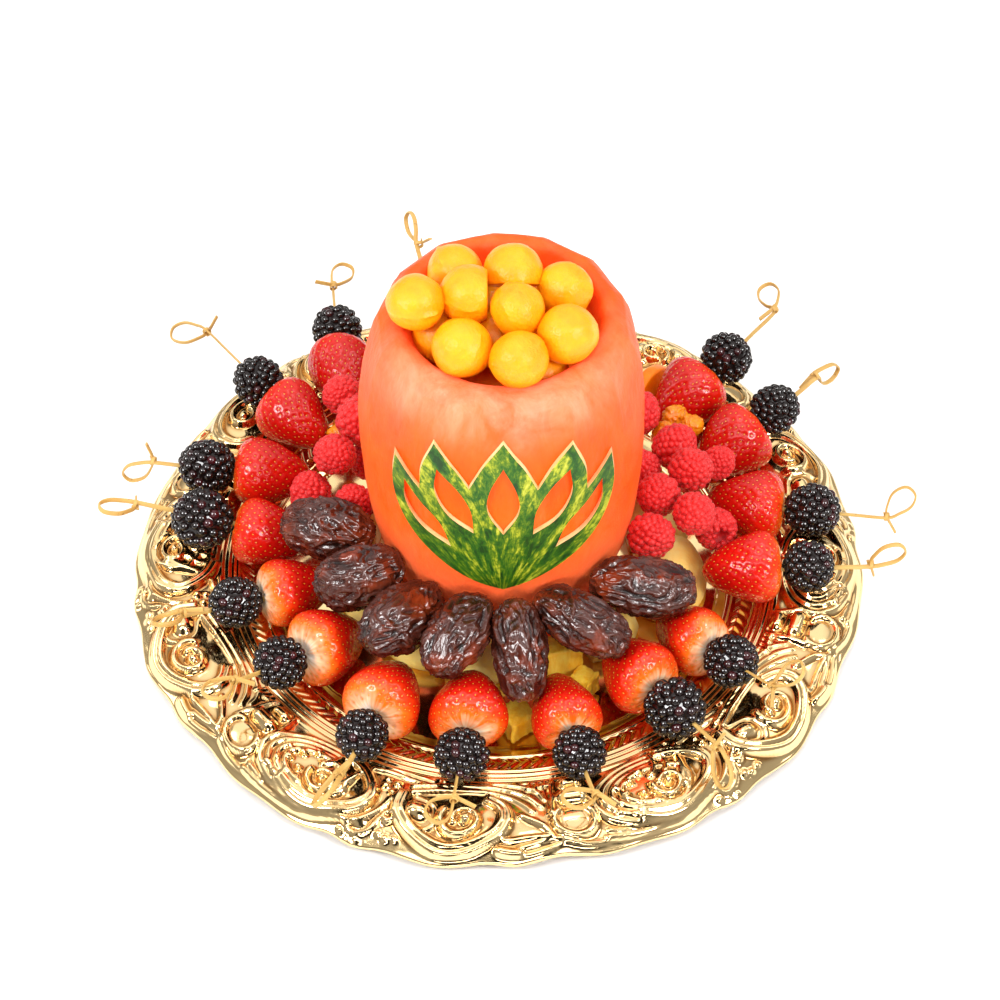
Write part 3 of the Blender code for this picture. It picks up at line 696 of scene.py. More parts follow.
def softened(grid, rounds):  # a sixth of the rim, which closes on itself round the tray but not across the rim
    for _ in range(rounds):
        grid = (np.roll(grid, 1, 0) + 2 * grid + np.roll(grid, -1, 0)) / 4
        wide = np.pad(grid, ((0, 0), (1, 1)), mode="edge")
        grid = (wide[:, :-2] + 2 * grid + wide[:, 2:]) / 4
    return grid


def makeRim():  # a flat band is spun, then lifted to the dish's line and its relief
    rows, steps, start, width = tray["rimRows"], tray["rimSteps"], tray["rimStart"], tray["rimWidth"]
    parked = -20.0   # points of the turned-under edge wait below the band until they get their place
    strip = [(start + width * k / rows, 0) for k in range(rows + 1)]
    strip += [(start + width * share, parked - k) for k, (share, _) in enumerate(tray["turnedUnder"])]
    rim = lathe("trayRim", strip, steps, repeats=24)
    points = pointsOf(rim) / mm
    turn = np.degrees(np.arctan2(points[:, 1], points[:, 0]))
    share = (np.hypot(points[:, 0], points[:, 1]) - start) / width
    isUnder = points[:, 2] < parked / 2
    real = start + share * (trayEdge(turn) - start)
    u = np.radians(turn % 60.0) * tray["ruler"]
    v = start + width * share
    # one sixth is worked out on an even grid, softened a little and used six times
    sector = steps // 6
    across, along = np.meshgrid(np.arange(sector), np.arange(rows + 1), indexing="ij")
    gridTurn = np.radians(60.0 * across.ravel() / sector) * tray["ruler"]
    grid = reliefOver(gridTurn, start + width * along.ravel() / rows).reshape(across.shape)
    grid = softened(grid, tray["softening"])
    column = np.rint(turn / 360.0 * steps).astype(int) % sector
    row = np.clip(np.rint(share * rows).astype(int), 0, rows)
    lift = np.where(isUnder, 0.0, grid[column, row])
    # painted shade: places lower than their softened neighbours are marked for the darker gold, fading out near
    # the edge
    sunk = (softened(grid, tray["hollowBlur"]) - grid) / tray["hollowDepth"]
    hollow = np.where(isUnder, 0.0, np.clip(sunk, 0, 1)[column, row]) * (1 - ease(v, 172.0, 175.0))
    swell = softSwells(u, v) * ~isUnder
    hold = ease(v, 134.2, 137.0) * (1 - 0.85 * ease(v, 173.5, 177.0))
    height = trayHeight(real) + (lift * tray["relief"] + swell) * hold
    beadRadius, beadHalf, beadTall = tray["bead"]
    height += beadTall * np.exp(-((v - beadRadius) / beadHalf) ** 2) * ~isUnder
    level = np.round(parked - points[:, 2]).astype(int)
    for k, (_, drop) in enumerate(tray["turnedUnder"]):
        height = np.where(isUnder & (level == k), trayHeight(real) + drop, height)
    setPoints(rim, (ringOf(np.radians(turn)) * real[:, None] + height[:, None] * np.array((0, 0, 1))) * mm)
    paint(rim, "hollow", hollow)
    smooth(rim)
    return rim


def makeWell():  # flat floor, reeds and a slanted rope moulding
    line = [(r, 3) for r in (0, 30, 60, 90)] + [(100 + 0.5 * k, 3) for k in range(17)]
    line += [(108.5 + 0.55 * k, 3) for k in range(1, 48)]
    well = lathe("trayWell", line, tray["wellSteps"], repeats=24)
    points = pointsOf(well) / mm
    radius = np.hypot(points[:, 0], points[:, 1])
    turn = np.arctan2(points[:, 1], points[:, 0])
    height = np.where(radius < 107, 3.0, trayHeight(radius))
    rope = tray["rope"]
    wave = np.cos(rope["count"] * turn + np.abs(radius - rope["bend"]))     # chevrons
    roll = np.clip(1 - ((radius - rope["radius"]) / rope["half"]) ** 2, 0, 1)
    height += roll ** 0.6 * (0.5 + 0.55 * wave)
    for middle, half, tall in tray["reeds"]:
        height += tall * np.sqrt(np.clip(1 - ((radius - middle) / half) ** 2, 0, 1))
    join = ease(radius, 133.0, 134.3)
    points[:, 2] = height * (1 - join) + (trayHeight(radius) + 0.35) * join
    setPoints(well, points * mm)
    smooth(well)
    return well


def makeBack():  # the plain underside with its foot ring
    back = lathe("trayBack", tray["back"], tray["backSteps"])
    smooth(back, 50)
    return back


def goldMaterial():
    gold, tree, shader = newMaterial("mirrorGold", {"Metallic": 1.0, "Roughness": 0.07})
    place = objectPlace(tree)
    # painted shade: the gold turns darker and browner in the relief's hollows
    hollow = times(tree, attributeValue(tree, "hollow"), 0.85)
    colourFrom(shader, mixColour(tree, hollow, tray["gold"], tray["shade"]))
    roughnessFrom(shader, spreadValue(tree, noiseValue(tree, place, 180.0, 3.0), 0.3, 0.75, 0.07, 0.15))
    bumpInto(tree, shader, noiseValue(tree, place, 90.0, 2.0), 0.00012, 0.35)
    return gold


gold = goldMaterial()
for part in (makeRim(), makeWell(), makeBack()):
    dress(part, gold, "gold", "tray")
print("tray ready")


# the watermelon bowl, peeled and knife-faceted, with a lotus of rind left on its front

melon = {
    "axis": (2.2, 8.9),
    "profile": ((3.35, 41), (12, 49.5), (30, 58.4), (52, 62.9), (76, 65.9), (100, 67), (124, 66.2),
                (143, 63.4), (156, 60.2), (165, 56.6)),     # height and radius
    "lip": ((169.6, 51.5), (169, 46), (163, 42.6)),
    "hollowWall": (156.0, 39.9),
    "hollowFloor": (149.0, 39.0),
    "foot": 3.35,
    "top": 170.0,
    "facets": 14,
    "facetTurn": 5.0,
    "steps": 300,
    "rindHeight": 2.4,
    "backRise": 4.6,         # the lip stands higher behind, and leans in to the balls in front
    "frontLean": 5.0,
    "main": linear(255, 77, 3),
    "pale": linear(255, 105, 17),
    # painted light: a paler flesh for the foot of the bowl, which lifts it where it lies in shade
    "low": linear(255, 118, 76),
    # pale veins over the flesh, and the painted highlight on the lip's front
    "bright": linear(255, 208, 176),
    "hollow": linear(255, 128, 28),
}


def melonRadius(z):
    line = curveThrough(melon["profile"], 160)
    return np.interp(z, line[:, 0], line[:, 1])


def facetShare(turn):  # how far in the knife's flat cuts lie, as a share of the radius
    pitch = 360.0 / melon["facets"]
    away = (turn - melon["facetTurn"] + pitch / 2) % pitch - pitch / 2
    return math.cos(math.radians(pitch / 2)) / np.cos(np.radians(away))


def melonSurface(turn, z):  # radius of the peeled flesh at an angle in degrees and a height in mm
    cut = ease(z, 112, 158)
    wobble = 0.35 * np.sin(np.radians(3 * turn) + z / 21) + 0.25 * np.sin(np.radians(7 * turn) - z / 15)
    wobble *= ease(z, 8, 30) * (1 - ease(z, 150, 165))
    return melonRadius(z) * (1 - cut + cut * facetShare(turn) * 1.012) + wobble


def makeMelon():
    foot, top = melon["foot"], melon["top"]
    outer = curveThrough([(r, z) for z, r in melon["profile"]], 96)
    lip = curveThrough([outer[-1], *[(r, z) for z, r in melon["lip"]]], 26)[1:]
    inner = curveThrough([lip[-1], melon["hollowWall"][::-1], melon["hollowFloor"][::-1]], 18)[1:]
    floor = [(r, melon["hollowFloor"][0]) for r in (30, 20, 10, 0)]
    line = [(r, foot) for r in (0, 14, 28)] + [tuple(p) for part in (outer, lip, inner) for p in part] + floor
    flesh = lathe("melonBowl", line, melon["steps"], repeats=4)
    points = pointsOf(flesh) / mm
    z = points[:, 2]
    radius = np.hypot(points[:, 0], points[:, 1])
    turn = np.degrees(np.arctan2(points[:, 1], points[:, 0]))
    onLip = (radius > 41.5) & (z > 160)
    inside = (radius < 52) & (z > 120)
    inHollow = inside & ~onLip
    # the knife's cuts, and the front of the lip that leans in
    level = np.clip(z, 3.4, 165)
    real = melonSurface(turn, level) / np.maximum(melonRadius(level), 1)
    share = np.where(inHollow, 1 + (real - 1) * 0.25, real)
    share = np.where(onLip, 1 + (real - 1) * (0.25 + 0.75 * ease(radius, 43, 55)), share)
    front = ease(-np.sin(np.radians(turn)), -0.1, 1.0)
    lean = melon["frontLean"] * front * (1 - ease(radius, 44, 53)) * ease(z, 146, 160) * (radius > 37)
    share = share * (1 - lean / np.maximum(radius, 1))
    share = np.where((z < 3.5) | (radius < 38) & ~inside, 1.0, share)
    made = points * np.stack([share, share, np.ones(len(share))], axis=1)
    # the uneven flesh
    grain = fractalAt(points, 0.055, (0, 0, 0), 0.9, 2.1, 4)
    low = noiseAt(points, 0.021, (7, 3, 1))
    push = (0.30 * grain + 0.55 * low) * ease(z, 4, 14)
    push = np.where(inHollow, 0.6 * push - 0.25, push)
    outward = made / np.maximum(np.hypot(made[:, 0], made[:, 1]), 1)[:, None]
    outward[:, 2] = np.where(onLip, 0.6, 0)
    made += outward * push[:, None]
    made[:, 2] = np.clip(made[:, 2] - np.where(onLip, 0.45, 0), foot, top)
    made[:, 2] += melon["backRise"] * ease(np.sin(np.radians(turn)), -0.35, 0.9) * ease(z, 120, 166)
    setPoints(flesh, (made + (*melon["axis"], 0)) * mm)
    # how near the lip a point lies, which the flesh uses for the painted highlight on the lip's front
    paint(flesh, "lip", np.exp(-((z - 166) / 15.0) ** 2) * np.where(inHollow, 0.5, 1.0))
    paint(flesh, "bowl", np.where(inHollow, ease(168 - z, 2, 16), 0))
    paint(flesh, "height", np.clip(z / top, 0, 1))
    smooth(flesh)
    return flesh


def fleshOfMelon():
    material, tree, shader = juicyMaterial("watermelonFlesh", 0.46, 0.2, 0.12, (0.006, 0.0025, 0.0012))
    place = objectPlace(tree)
    colour, height = mottle(tree, melon["main"], melon["pale"], 26.0, 0.55, 0.75, 0.52)
    # painted light: the flesh turns paler towards the foot, to brighten the shaded lower bowl
    low = spreadValue(tree, attributeValue(tree, "height"), 0.16, 0.5, 0.85, 0.0)
    colour = mixColour(tree, low, colour, melon["low"])
    # pale veins and clouds over all the flesh, and on the lip's front a painted highlight streaked like them
    upright = stretched(tree, place, 1, 1, 0.45)
    veinsAndLipHighlight = sumOf(tree, (noiseValue(tree, upright, 34.0, 5.0, 0.66, 0.7), 0.72),
                  (noiseValue(tree, upright, 120.0, 4.0, 0.65, 1.2), 0.28))
    colour = mixColour(tree, spreadValue(tree, veinsAndLipHighlight, 0.5, 0.72, 0.0, 0.06), colour, melon["bright"])
    # the painted highlight is held to the front of the bowl, near the lip
    front = addNode(tree, "ShaderNodeSeparateXYZ", {0: place}).outputs["Y"]
    front = spreadValue(tree, front, 0.01, -0.05, 0.1, 1.0)
    lipHighlight = mathNode(tree, "MULTIPLY", attributeValue(tree, "lip"), front)
    veinsAndLipHighlight = mathNode(tree, "MULTIPLY", spreadValue(tree, veinsAndLipHighlight, 0.34, 0.74, 0.06, 0.62), lipHighlight, clamp=True)
    colour = mixColour(tree, veinsAndLipHighlight, colour, melon["bright"])
    colour = mixColour(tree, times(tree, attributeValue(tree, "bowl"), 0.85), colour, melon["hollow"])
    colourFrom(shader, colour)
    fibre = noiseValue(tree, stretched(tree, place, 1, 1, 0.35), 420.0, 4.0)
    bumpInto(tree, shader, mathNode(tree, "ADD", fibre, times(tree, height, 1.4)), 0.0009, 0.55)
    return material


lotus = {
    "outline": (((0, 58), (13, 64), (27, 73), (39, 84), (47, 98), (50.5, 114), (49, 131)),
                ((49, 131), (43, 124), (38, 119)), ((38, 119), (37, 132), (31, 148)),
                ((31, 148), (22, 138), (15.5, 128)), ((15.5, 128), (9, 141), (0, 154))),
    "tip": (0, 154),
    "windows": (
        (((0, 141), (6, 128), (7, 115), (0, 101)), ((0, 101), (-7, 115), (-6, 128), (0, 141))),
        (((30, 135), (31, 121), (25, 108), (13.5, 100)), ((13.5, 100), (15, 115), (21.5, 127), (30, 135))),
        (((45, 120), (44.5, 106), (37, 94), (24, 87)), ((24, 87), (29, 101), (38, 111), (45, 120)))),
    "sheetTurn": (-90, 112, 150),                # middle and width in degrees, and steps
    "sheetHeight": (104, 104, 130),
    "thickness": 4.2,
    "fan": (0.002, 0.050),                       # the stripes spread from this place, in metres
    "dark": linear(20, 56, 10),
    "green": linear(40, 92, 14),
    "leaf": linear(94, 122, 16),
    "light": linear(172, 176, 40),
    "straw": linear(210, 206, 84),
    "cut": linear(232, 198, 128),
    "cutPale": linear(244, 224, 172),
}


def outlineOf(runs):
    return [(x, z) for run in runs for x, z in curveThrough(run, 4 * len(run))[:-1]]


def prismOf(name, corners, front, back):
    piece = addShape(bpy.ops.mesh.primitive_circle_add, name, vertices=len(corners), radius=0.01,
                     fill_type="NGON")
    for corner, (x, z) in zip(piece.data.vertices, corners):
        corner.co = (x * mm, front * mm, z * mm)
    editAll(piece)
    bpy.ops.mesh.extrude_region_move(TRANSFORM_OT_translate={"value": (0, (back - front) * mm, 0)})
    leaveEdit()
    turnOutwards(piece)
    return piece


def cutWith(piece, other, operation):
    modifier = piece.modifiers.new("cut", "BOOLEAN")
    modifier.operation = operation
    modifier.solver = "EXACT"
    modifier.object = other
    applyModifiers(piece)
    discard(other)


def makeRind():  # a curved sheet over the flesh, cut to the lotus
    (middleTurn, wide, across), (middleHeight, tall, up) = lotus["sheetTurn"], lotus["sheetHeight"]
    rind = addShape(bpy.ops.mesh.primitive_grid_add, "lotusRind", x_subdivisions=across, y_subdivisions=up,
                    size=1)
    grid = pointsOf(rind)
    turn = middleTurn + grid[:, 0] * wide
    z = middleHeight + grid[:, 1] * tall
    radius = melonSurface(turn, z) + melon["rindHeight"]
    setPoints(rind, (ringOf(np.radians(turn)) * radius[:, None] + z[:, None] * np.array((0, 0, 1))) * mm)
    solid = rind.modifiers.new("thickness", "SOLIDIFY")
    solid.thickness = lotus["thickness"] * mm
    solid.offset = -1
    applyModifiers(rind)
    half = outlineOf(lotus["outline"])
    outline = half + [lotus["tip"]] + [(-x, z) for x, z in reversed(half[1:])]
    cutWith(rind, prismOf("lotusOutline", outline, -90, -33.5), "INTERSECT")
    for k, window in enumerate(lotus["windows"]):
        for side in (1, -1) if k else (1,):
            corners = [(side * x, z) for x, z in outlineOf(window)]
            cutWith(rind, prismOf("lotusWindow", corners, -92, -30), "DIFFERENCE")
    bevelEdges(rind, 0.45, 2, 52)
    rind.data.transform(placed((*melon["axis"], 0)))
    smooth(rind, 34)
    rind.data.materials.append(rindSkin())
    rind.data.materials.append(rindCut())
    middle = Vector((*melon["axis"], 0)) * mm
    for face in rind.data.polygons:
        out = face.center - middle
        out.z = 0
        face.material_index = 0 if face.normal.dot(out.normalized()) > 0.82 else 1
    return rind


def rindSkin():  # jagged stripes that fan out from the lotus's foot
    skin, tree, shader = newMaterial("rindSkin", {"Roughness": 0.42, "Specular IOR Level": 0.3})
    place = objectPlace(tree)
    parts = addNode(tree, "ShaderNodeSeparateXYZ", {0: place})
    side = mathNode(tree, "SUBTRACT", parts.outputs["X"], lotus["fan"][0])
    away = mathNode(tree, "SUBTRACT", parts.outputs["Z"], lotus["fan"][1])
    fan = mathNode(tree, "ARCTAN2", side, away)
    square = sumOf(tree, (side, side), (away, away))
    far = times(tree, mathNode(tree, "SQRT", square), 5.0)
    rays = addNode(tree, "ShaderNodeCombineXYZ", {0: fan, 1: far, 2: 0.3}).outputs[0]
    fleck = noiseValue(tree, place, 210.0, 4.0, 0.7, 0.8)
    tone = sumOf(tree, (noiseValue(tree, rays, 7.0, 4.0, 0.6, 0.6), 0.5),
                 (noiseValue(tree, rays, 26.0, 5.0, 0.7, 1.4), 0.32), (fleck, 0.18))
    stops = zip((0.41, 0.47, 0.52, 0.565, 0.64), ("dark", "green", "leaf", "light", "straw"))
    colourFrom(shader, colourRamp(tree, tone, [(at, lotus[word]) for at, word in stops]))
    bumpInto(tree, shader, fleck, 0.0002, 0.4)
    return skin


def rindCut():
    cut, tree, shader = newMaterial("rindCut", {
        "Roughness": 0.5, "Subsurface Weight": 0.1, "Subsurface Radius": (0.003, 0.002, 0.001)})
    colour, height = mottle(tree, lotus["cut"], lotus["cutPale"], 90.0)
    colourFrom(shader, colour)
    bumpInto(tree, shader, height, 0.0004, 0.5)
    return cut


dress(makeMelon(), fleshOfMelon(), "watermelon_flesh", "watermelon")
dress(makeRind(), None, "watermelon_flesh", "watermelon")
print("watermelon bowl ready")


# the melon balls heaped in the bowl, some scooped short so that a flat side shows

melonBalls = {
    "showing": (  # centre, radius, and the flat side: its direction and how far out it lies as a share
        ((-37.1, 5.1, 183.8), 13.3, None), ((-19.7, 33.1, 175.6), 13.0, None),
        ((6.5, 27.8, 180.0), 14.0, ((0, -0.746, -0.666), 0.39)),
        ((-13.1, 11.1, 182.9), 13.6, ((1, 0, 0), 0.60)),
        ((30.0, 21.3, 175.5), 12.8, None), ((8.7, 0.8, 183.7), 12.6, None), ((30.9, -8.8, 177.8), 13.8, None),
        ((-16.2, -14.5, 174.6), 13.8, None), ((9.2, -23.4, 176.4), 13.4, None)),
    "below": ((-26.8, 8, 160), (19.4, -12.4, 155), (-1.7, 3.9, 161.1), (19.6, 31.7, 155), (-5.4, 36.5, 155)),
    "belowRadius": 13.0,
    "deep": linear(249, 148, 5),
    "main": linear(255, 171, 12),
}


def makeMelonBall(name, centre, radius, flat, seed):
    draw = random.Random(seed)
    ball = addShape(bpy.ops.mesh.primitive_uv_sphere_add, name, segments=56, ring_count=30, radius=radius * mm)
    shift = [draw.uniform(-50, 50) for _ in range(3)]
    unit = pointsOf(ball) / mm / radius
    low = noiseAt(unit, 1.3, shift)
    fine = fractalAt(unit, 4.0, shift, 1.0, 2.0, 3)
    squash = 1 - draw.uniform(0.0, 0.05) * unit[:, 2] ** 2
    turn = np.arctan2(unit[:, 1], unit[:, 0]) + draw.uniform(0, 6)
    ragged = np.maximum(fractalAt(ringOf(turn), 1.7, shift, 0.8, 2.2, 4), 0)
    # the ridge that the scoop left
    seam = (0.2 + 1.9 * ragged) * np.exp(-((unit[:, 2] + draw.uniform(-0.25, 0.1)) / 0.05) ** 2)
    setPoints(ball, unit * (radius * squash + 0.7 * low + 0.14 * fine + seam)[:, None] * mm)
    if flat:
        way = Vector(flat[0]).normalized()
        editAll(ball)
        bpy.ops.mesh.bisect(plane_co=way * radius * flat[1] * mm, plane_no=way, use_fill=True, clear_outer=True)
        leaveEdit()
        bevelEdges(ball, 0.5, 2, 35)
        ball.data.transform(placed(centre))
    else:
        turn = turnBy(draw.uniform(-0.9, 0.9), draw.uniform(-0.9, 0.9), draw.uniform(0, 6))
        ball.data.transform(placed(centre, turn))
    smooth(ball, 40)
    return ball


def juicyMottled(name, deep, pale, scale, stretch=1.0, amount=1.0, bias=0.5, gloss=(0.35, 0.28), depth=0.15,
                 reach=(0.006, 0.004, 0.0015), grain=600.0, relief=(0.0006, 0.5)):  # wet flesh of two tones
    material, tree, shader = juicyMaterial(name, *gloss, depth, reach)
    colour, height = mottle(tree, deep, pale, scale, stretch, amount, bias)
    colourFrom(shader, colour)
    if grain:
        height = mathNode(tree, "ADD", noiseValue(tree, objectPlace(tree), grain, 3.0), height)
    bumpInto(tree, shader, height, *relief)
    return material


mangoYellow = juicyMottled(
    "mangoYellow", melonBalls["deep"], melonBalls["main"], 74.0, bias=0.46, gloss=(0.3, 0.4),
    depth=0.2, reach=(0.006, 0.004, 0.001), grain=700.0, relief=(0.0007, 0.6))
balls = [*melonBalls["showing"], *((centre, melonBalls["belowRadius"], None) for centre in melonBalls["below"])]
for k, (centre, radius, flat) in enumerate(balls, 1):
    ball = makeMelonBall("melonBall%02d" % k, centre, radius, flat, 40 + k)
    dress(ball, mangoYellow, "melon_ball", "melon_balls")
print("melon balls ready")


# the fruit picks: strawberry, dark berry and knotted bamboo, each with its own copy of a master shape

picks = {
    "places": (  # strawberry's widest place, berry's middle, their radii, knot gap, roll, lean and ripeness
        ((128.0, 20.5, 29.5), (153.3, 16.4, 30.8), 17.0, 13.6, 36.0, 248, -55, 0.15),
        ((119.7, 63.7, 31.2), (138.3, 78.9, 36.7), 17.5, 12.6, 28.0, 273, 42, 0.1),
        ((98.4, 96.3, 31.7), (115.6, 114.0, 37.4), 17.5, 13.4, 38.0, 347, 57, 0.1),
        ((18.0, 128.0, 31.0), (22.0, 152.4, 32.6), 17.0, 13.2, 25.0, 0, 25, 0.1),
        ((-27.3, 131.4, 31.4), (-33.7, 154.2, 40.8), 17.0, 13.2, 32.0, 112, -11, 0.1),
        ((-80.9, 114.3, 31.8), (-83.3, 139.4, 32.5), 17.0, 13.2, 31.0, 16, -28, 0.1),
        ((-105.3, 82.8, 30.8), (-121.7, 101.4, 33.3), 17.5, 13.1, 42.5, 161, -47, 0.15),
        ((-118.6, 43.2, 29.2), (-144.3, 45.3, 30.9), 17.5, 13.8, 27.0, 96, -46, 0.2),
        ((-117.4, 6.5, 26.6), (-144.2, 9.9, 31.6), 17.0, 15.3, 33.0, 201, -34, 0.3),
        ((-102.8, -29.5, 23.2), (-125.5, -38.5, 26.5), 17.0, 12.6, 26.0, 33, 30, 0.8),
        ((-83.9, -63.6, 23.6), (-101.9, -79.2, 31.4), 18.0, 13.0, 28.0, 3, 8, 0.95),
        ((-54.1, -97.6, 25.4), (-62.5, -120.3, 29.7), 18.3, 12.6, 28.0, 54, -21, 1.0),
        ((-14.1, -104.3, 24.2), (-16.9, -129.2, 26.5), 18.3, 13.2, 27.0, 338, -34, 0.55),
        ((31.2, -103.9, 22.3), (37.2, -127.7, 26.1), 16.0, 12.8, 28.0, 337, -71, 0.7),
        ((67.2, -81.2, 23.1), (81.6, -103.4, 28.1), 17.5, 14.8, 33.0, 66, -44, 0.7),
        ((93.5, -59.1, 23.0), (108.7, -77.5, 30.4), 16.5, 13.0, 28.5, 225, -52, 0.95),
        ((124.1, -19.1, 29.1), (148.9, -18.7, 29.8), 17.5, 12.8, 30.0, 271, -39, 0.6)),
}

strawberry = {
    "radius": 17.0,
    "length": 38.0,
    "tip": -26.6,            # the tip's place when the widest place is at zero
    "rings": (               # share of the length from the tip, and of the radius
        (0.0, 0.0), (0.012, 0.11), (0.05, 0.25), (0.10, 0.375), (0.20, 0.545), (0.34, 0.72), (0.50, 0.875),
        (0.62, 0.96), (0.72, 1.0), (0.81, 0.99), (0.89, 0.915), (0.95, 0.78), (0.985, 0.59), (1.0, 0.42),
        (0.995, 0.26), (0.975, 0.13), (0.96, 0.0)),
    "seeds": 300,
    "seedSize": (0.34, 0.62, 0.26),
    "dimple": (0.95, 0.6),   # radius and depth
    "steps": 116,
    "rows": 66,
    "masters": 4,
    "kinds": (("Deep", 0.0, 0.15), ("Warm", 0.4, 0.6), ("Orange", 0.8, 1.0)),   # from which mark on, how orange
    "bands": (               # place along the skin on a red fruit and on an orange-shouldered one
        ((0.0, 0.0), "red"), ((0.50, 0.46), "red"), ((0.68, 0.57), "bright"), ((0.81, 0.66), "warm"),
        ((0.91, 0.74), "orange"), ((0.96, 0.87), "cream"), ((1.0, 0.94), "white")),
    "red": linear(190, 15, 8),
    "bright": linear(208, 28, 9),
    "warm": linear(228, 58, 9),
    "orange": linear(250, 114, 24),
    "cream": linear(255, 206, 164),
    "white": linear(255, 236, 222),
    "shadow": (0.72, 0.42, 0.36, 1),
    "seed": linear(240, 176, 62),
    "seedDeep": linear(206, 130, 24),
}


def closedLine(shape, radius, length, rows):  # a fruit's side line, which starts and ends on the axis
    line = [(max(r, 0.0), z) for r, z in curveThrough([(r * radius, s * length) for s, r in shape], rows)]
    line[0], line[-1] = (0.0, line[0][1]), (0.0, line[-1][1])
    return line


def makeStrawberry(index):
    draw = random.Random(300 + index)
    tip, length = strawberry["tip"], strawberry["length"]
    side = closedLine(strawberry["rings"], strawberry["radius"], length, strawberry["rows"])
    line = [(r, z + tip) for r, z in side]
    berry = lathe("strawberryMaster%d" % index, line, strawberry["steps"])
    points = pointsOf(berry) / mm
    turn = np.arctan2(points[:, 1], points[:, 0])
    share = (points[:, 2] - tip) / length
    flat = np.stack([np.hypot(points[:, 0], points[:, 1]), points[:, 2]], axis=1)
    along = np.array([np.argmin(((place - line) ** 2).sum(1)) for place in flat]) / (len(line) - 1)
    shift = (draw.uniform(-40, 40), draw.uniform(-40, 40), 3)
    low = noiseAt(points, 0.055, shift)
    oval = 1 + draw.uniform(0.02, 0.06) * np.cos(2 * turn + draw.uniform(0, 3))
    lobes = 1 + 0.018 * np.cos(3 * turn + draw.uniform(0, 6)) * ease(share, 0.3, 0.8)
    points[:, :2] *= (oval * lobes * (1 + 0.05 * low))[:, None]
    ring = ringOf(turn)
    pleats = noiseAt(ring, 3.2, shift)
    points[:, 2] += 0.6 * pleats * ease(along, 0.74, 0.84) * (1 - ease(along, 0.9, 1.0))
    points[:, 2] += 0.9 * low * np.sin(np.clip(share, 0, 1) * math.pi)
    for axis in (0, 1):
        points[:, axis] += draw.uniform(-1.6, 1.6) * (1 - ease(share, 0.0, 0.5))
    setPoints(berry, points * mm)
    normals = normalsOf(berry)
    # seeds wind up the fruit by the golden angle, evenly by area, each in its own dimple
    nearest = nearestIn(points)
    reach = int(0.84 * len(line))
    area = np.cumsum([r for r, z in line[:reach]])
    area /= area[-1]
    seeds = []
    for k in range(strawberry["seeds"]):
        at = np.interp((k + 0.5) / strawberry["seeds"], area, np.arange(reach))
        a = k * goldenAngle + draw.uniform(-0.05, 0.05)
        r, z = (np.interp(at, np.arange(len(line)), column) for column in zip(*line))
        seeds.append(nearest((r * math.cos(a), r * math.sin(a), z))[1])
    nearestSeed = nearestIn(points[seeds])
    wide, deep = strawberry["dimple"]
    away = np.array([nearestSeed(p)[2] for p in points])
    dimple = np.exp(-(away / wide) ** 2) * (1 - ease(along, 0.84, 0.90))
    points -= normals * (deep * dimple)[:, None]
    setPoints(berry, points * mm)
    rays = fractalAt(ring, 9, shift, 0.9, 2.3, 4)
    broad = noiseAt(ring, 1.1, shift)
    paint(berry, "along", along + 0.07 * rays * ease(along, 0.7, 0.86) + 0.07 * broad * ease(along, 0.3, 0.7))
    paint(berry, "dimple", dimple)
    paint(berry, "seed", np.zeros(len(points)))
    bits = []
    for found in seeds:
        bit = addShape(bpy.ops.mesh.primitive_ico_sphere_add, subdivisions=1, radius=mm)
        normal = Vector(normals[found])
        up = (Vector((0, 0, 1)) - normal * normal.z).normalized()
        turnTo = Matrix((up.cross(normal), up, normal)).transposed().to_4x4()
        place = Vector(points[found]) + normal * 0.06
        bit.data.transform(placed(place, turnTo @ Matrix.Diagonal((*strawberry["seedSize"], 1))))
        for layer, value in (("along", 0.5), ("dimple", 0.0), ("seed", 1.0)):
            paint(bit, layer, [value] * len(bit.data.vertices))
        bits.append(bit)
    berry = joined([berry] + bits, berry.name)
    berry.data.transform(Matrix.Rotation(math.pi / 2, 4, "Y"))   # the tip now points along -X
    smooth(berry)
    return berry


def strawberryMaterial(name, orangeness):
    material, tree, shader = juicyMaterial(name, 0.2, 0.42, 0.06, (0.003, 0.001, 0.0006))
    place = objectPlace(tree)
    uneven = times(tree, mathNode(tree, "SUBTRACT", noiseValue(tree, place, 60.0, 3.0), 0.5), 0.22)
    along = mathNode(tree, "ADD", attributeValue(tree, "along"), uneven)
    stops = [(red + (orange - red) * orangeness, strawberry[key]) for (red, orange), key in strawberry["bands"]]
    colour = colourRamp(tree, along, stops)
    dimple = times(tree, attributeValue(tree, "dimple"), 0.8)
    colour = mixColour(tree, dimple, colour, strawberry["shadow"], "MULTIPLY")
    seedShade = mixColour(tree, noiseValue(tree, place, 300.0, 1.0), strawberry["seed"], strawberry["seedDeep"])
    colourFrom(shader, mixColour(tree, attributeValue(tree, "seed"), colour, seedShade))
    bumpInto(tree, shader, noiseValue(tree, place, 900.0, 2.0), 0.0002, 0.2)
    return material


darkBerry = {
    "radius": 13.0,
    "drupes": 102,
    "drupe": 2.24,
    "masters": 3,
    "length": 1.08,
    "black": linear(11, 5, 4),
    "wine": linear(40, 8, 11),
}


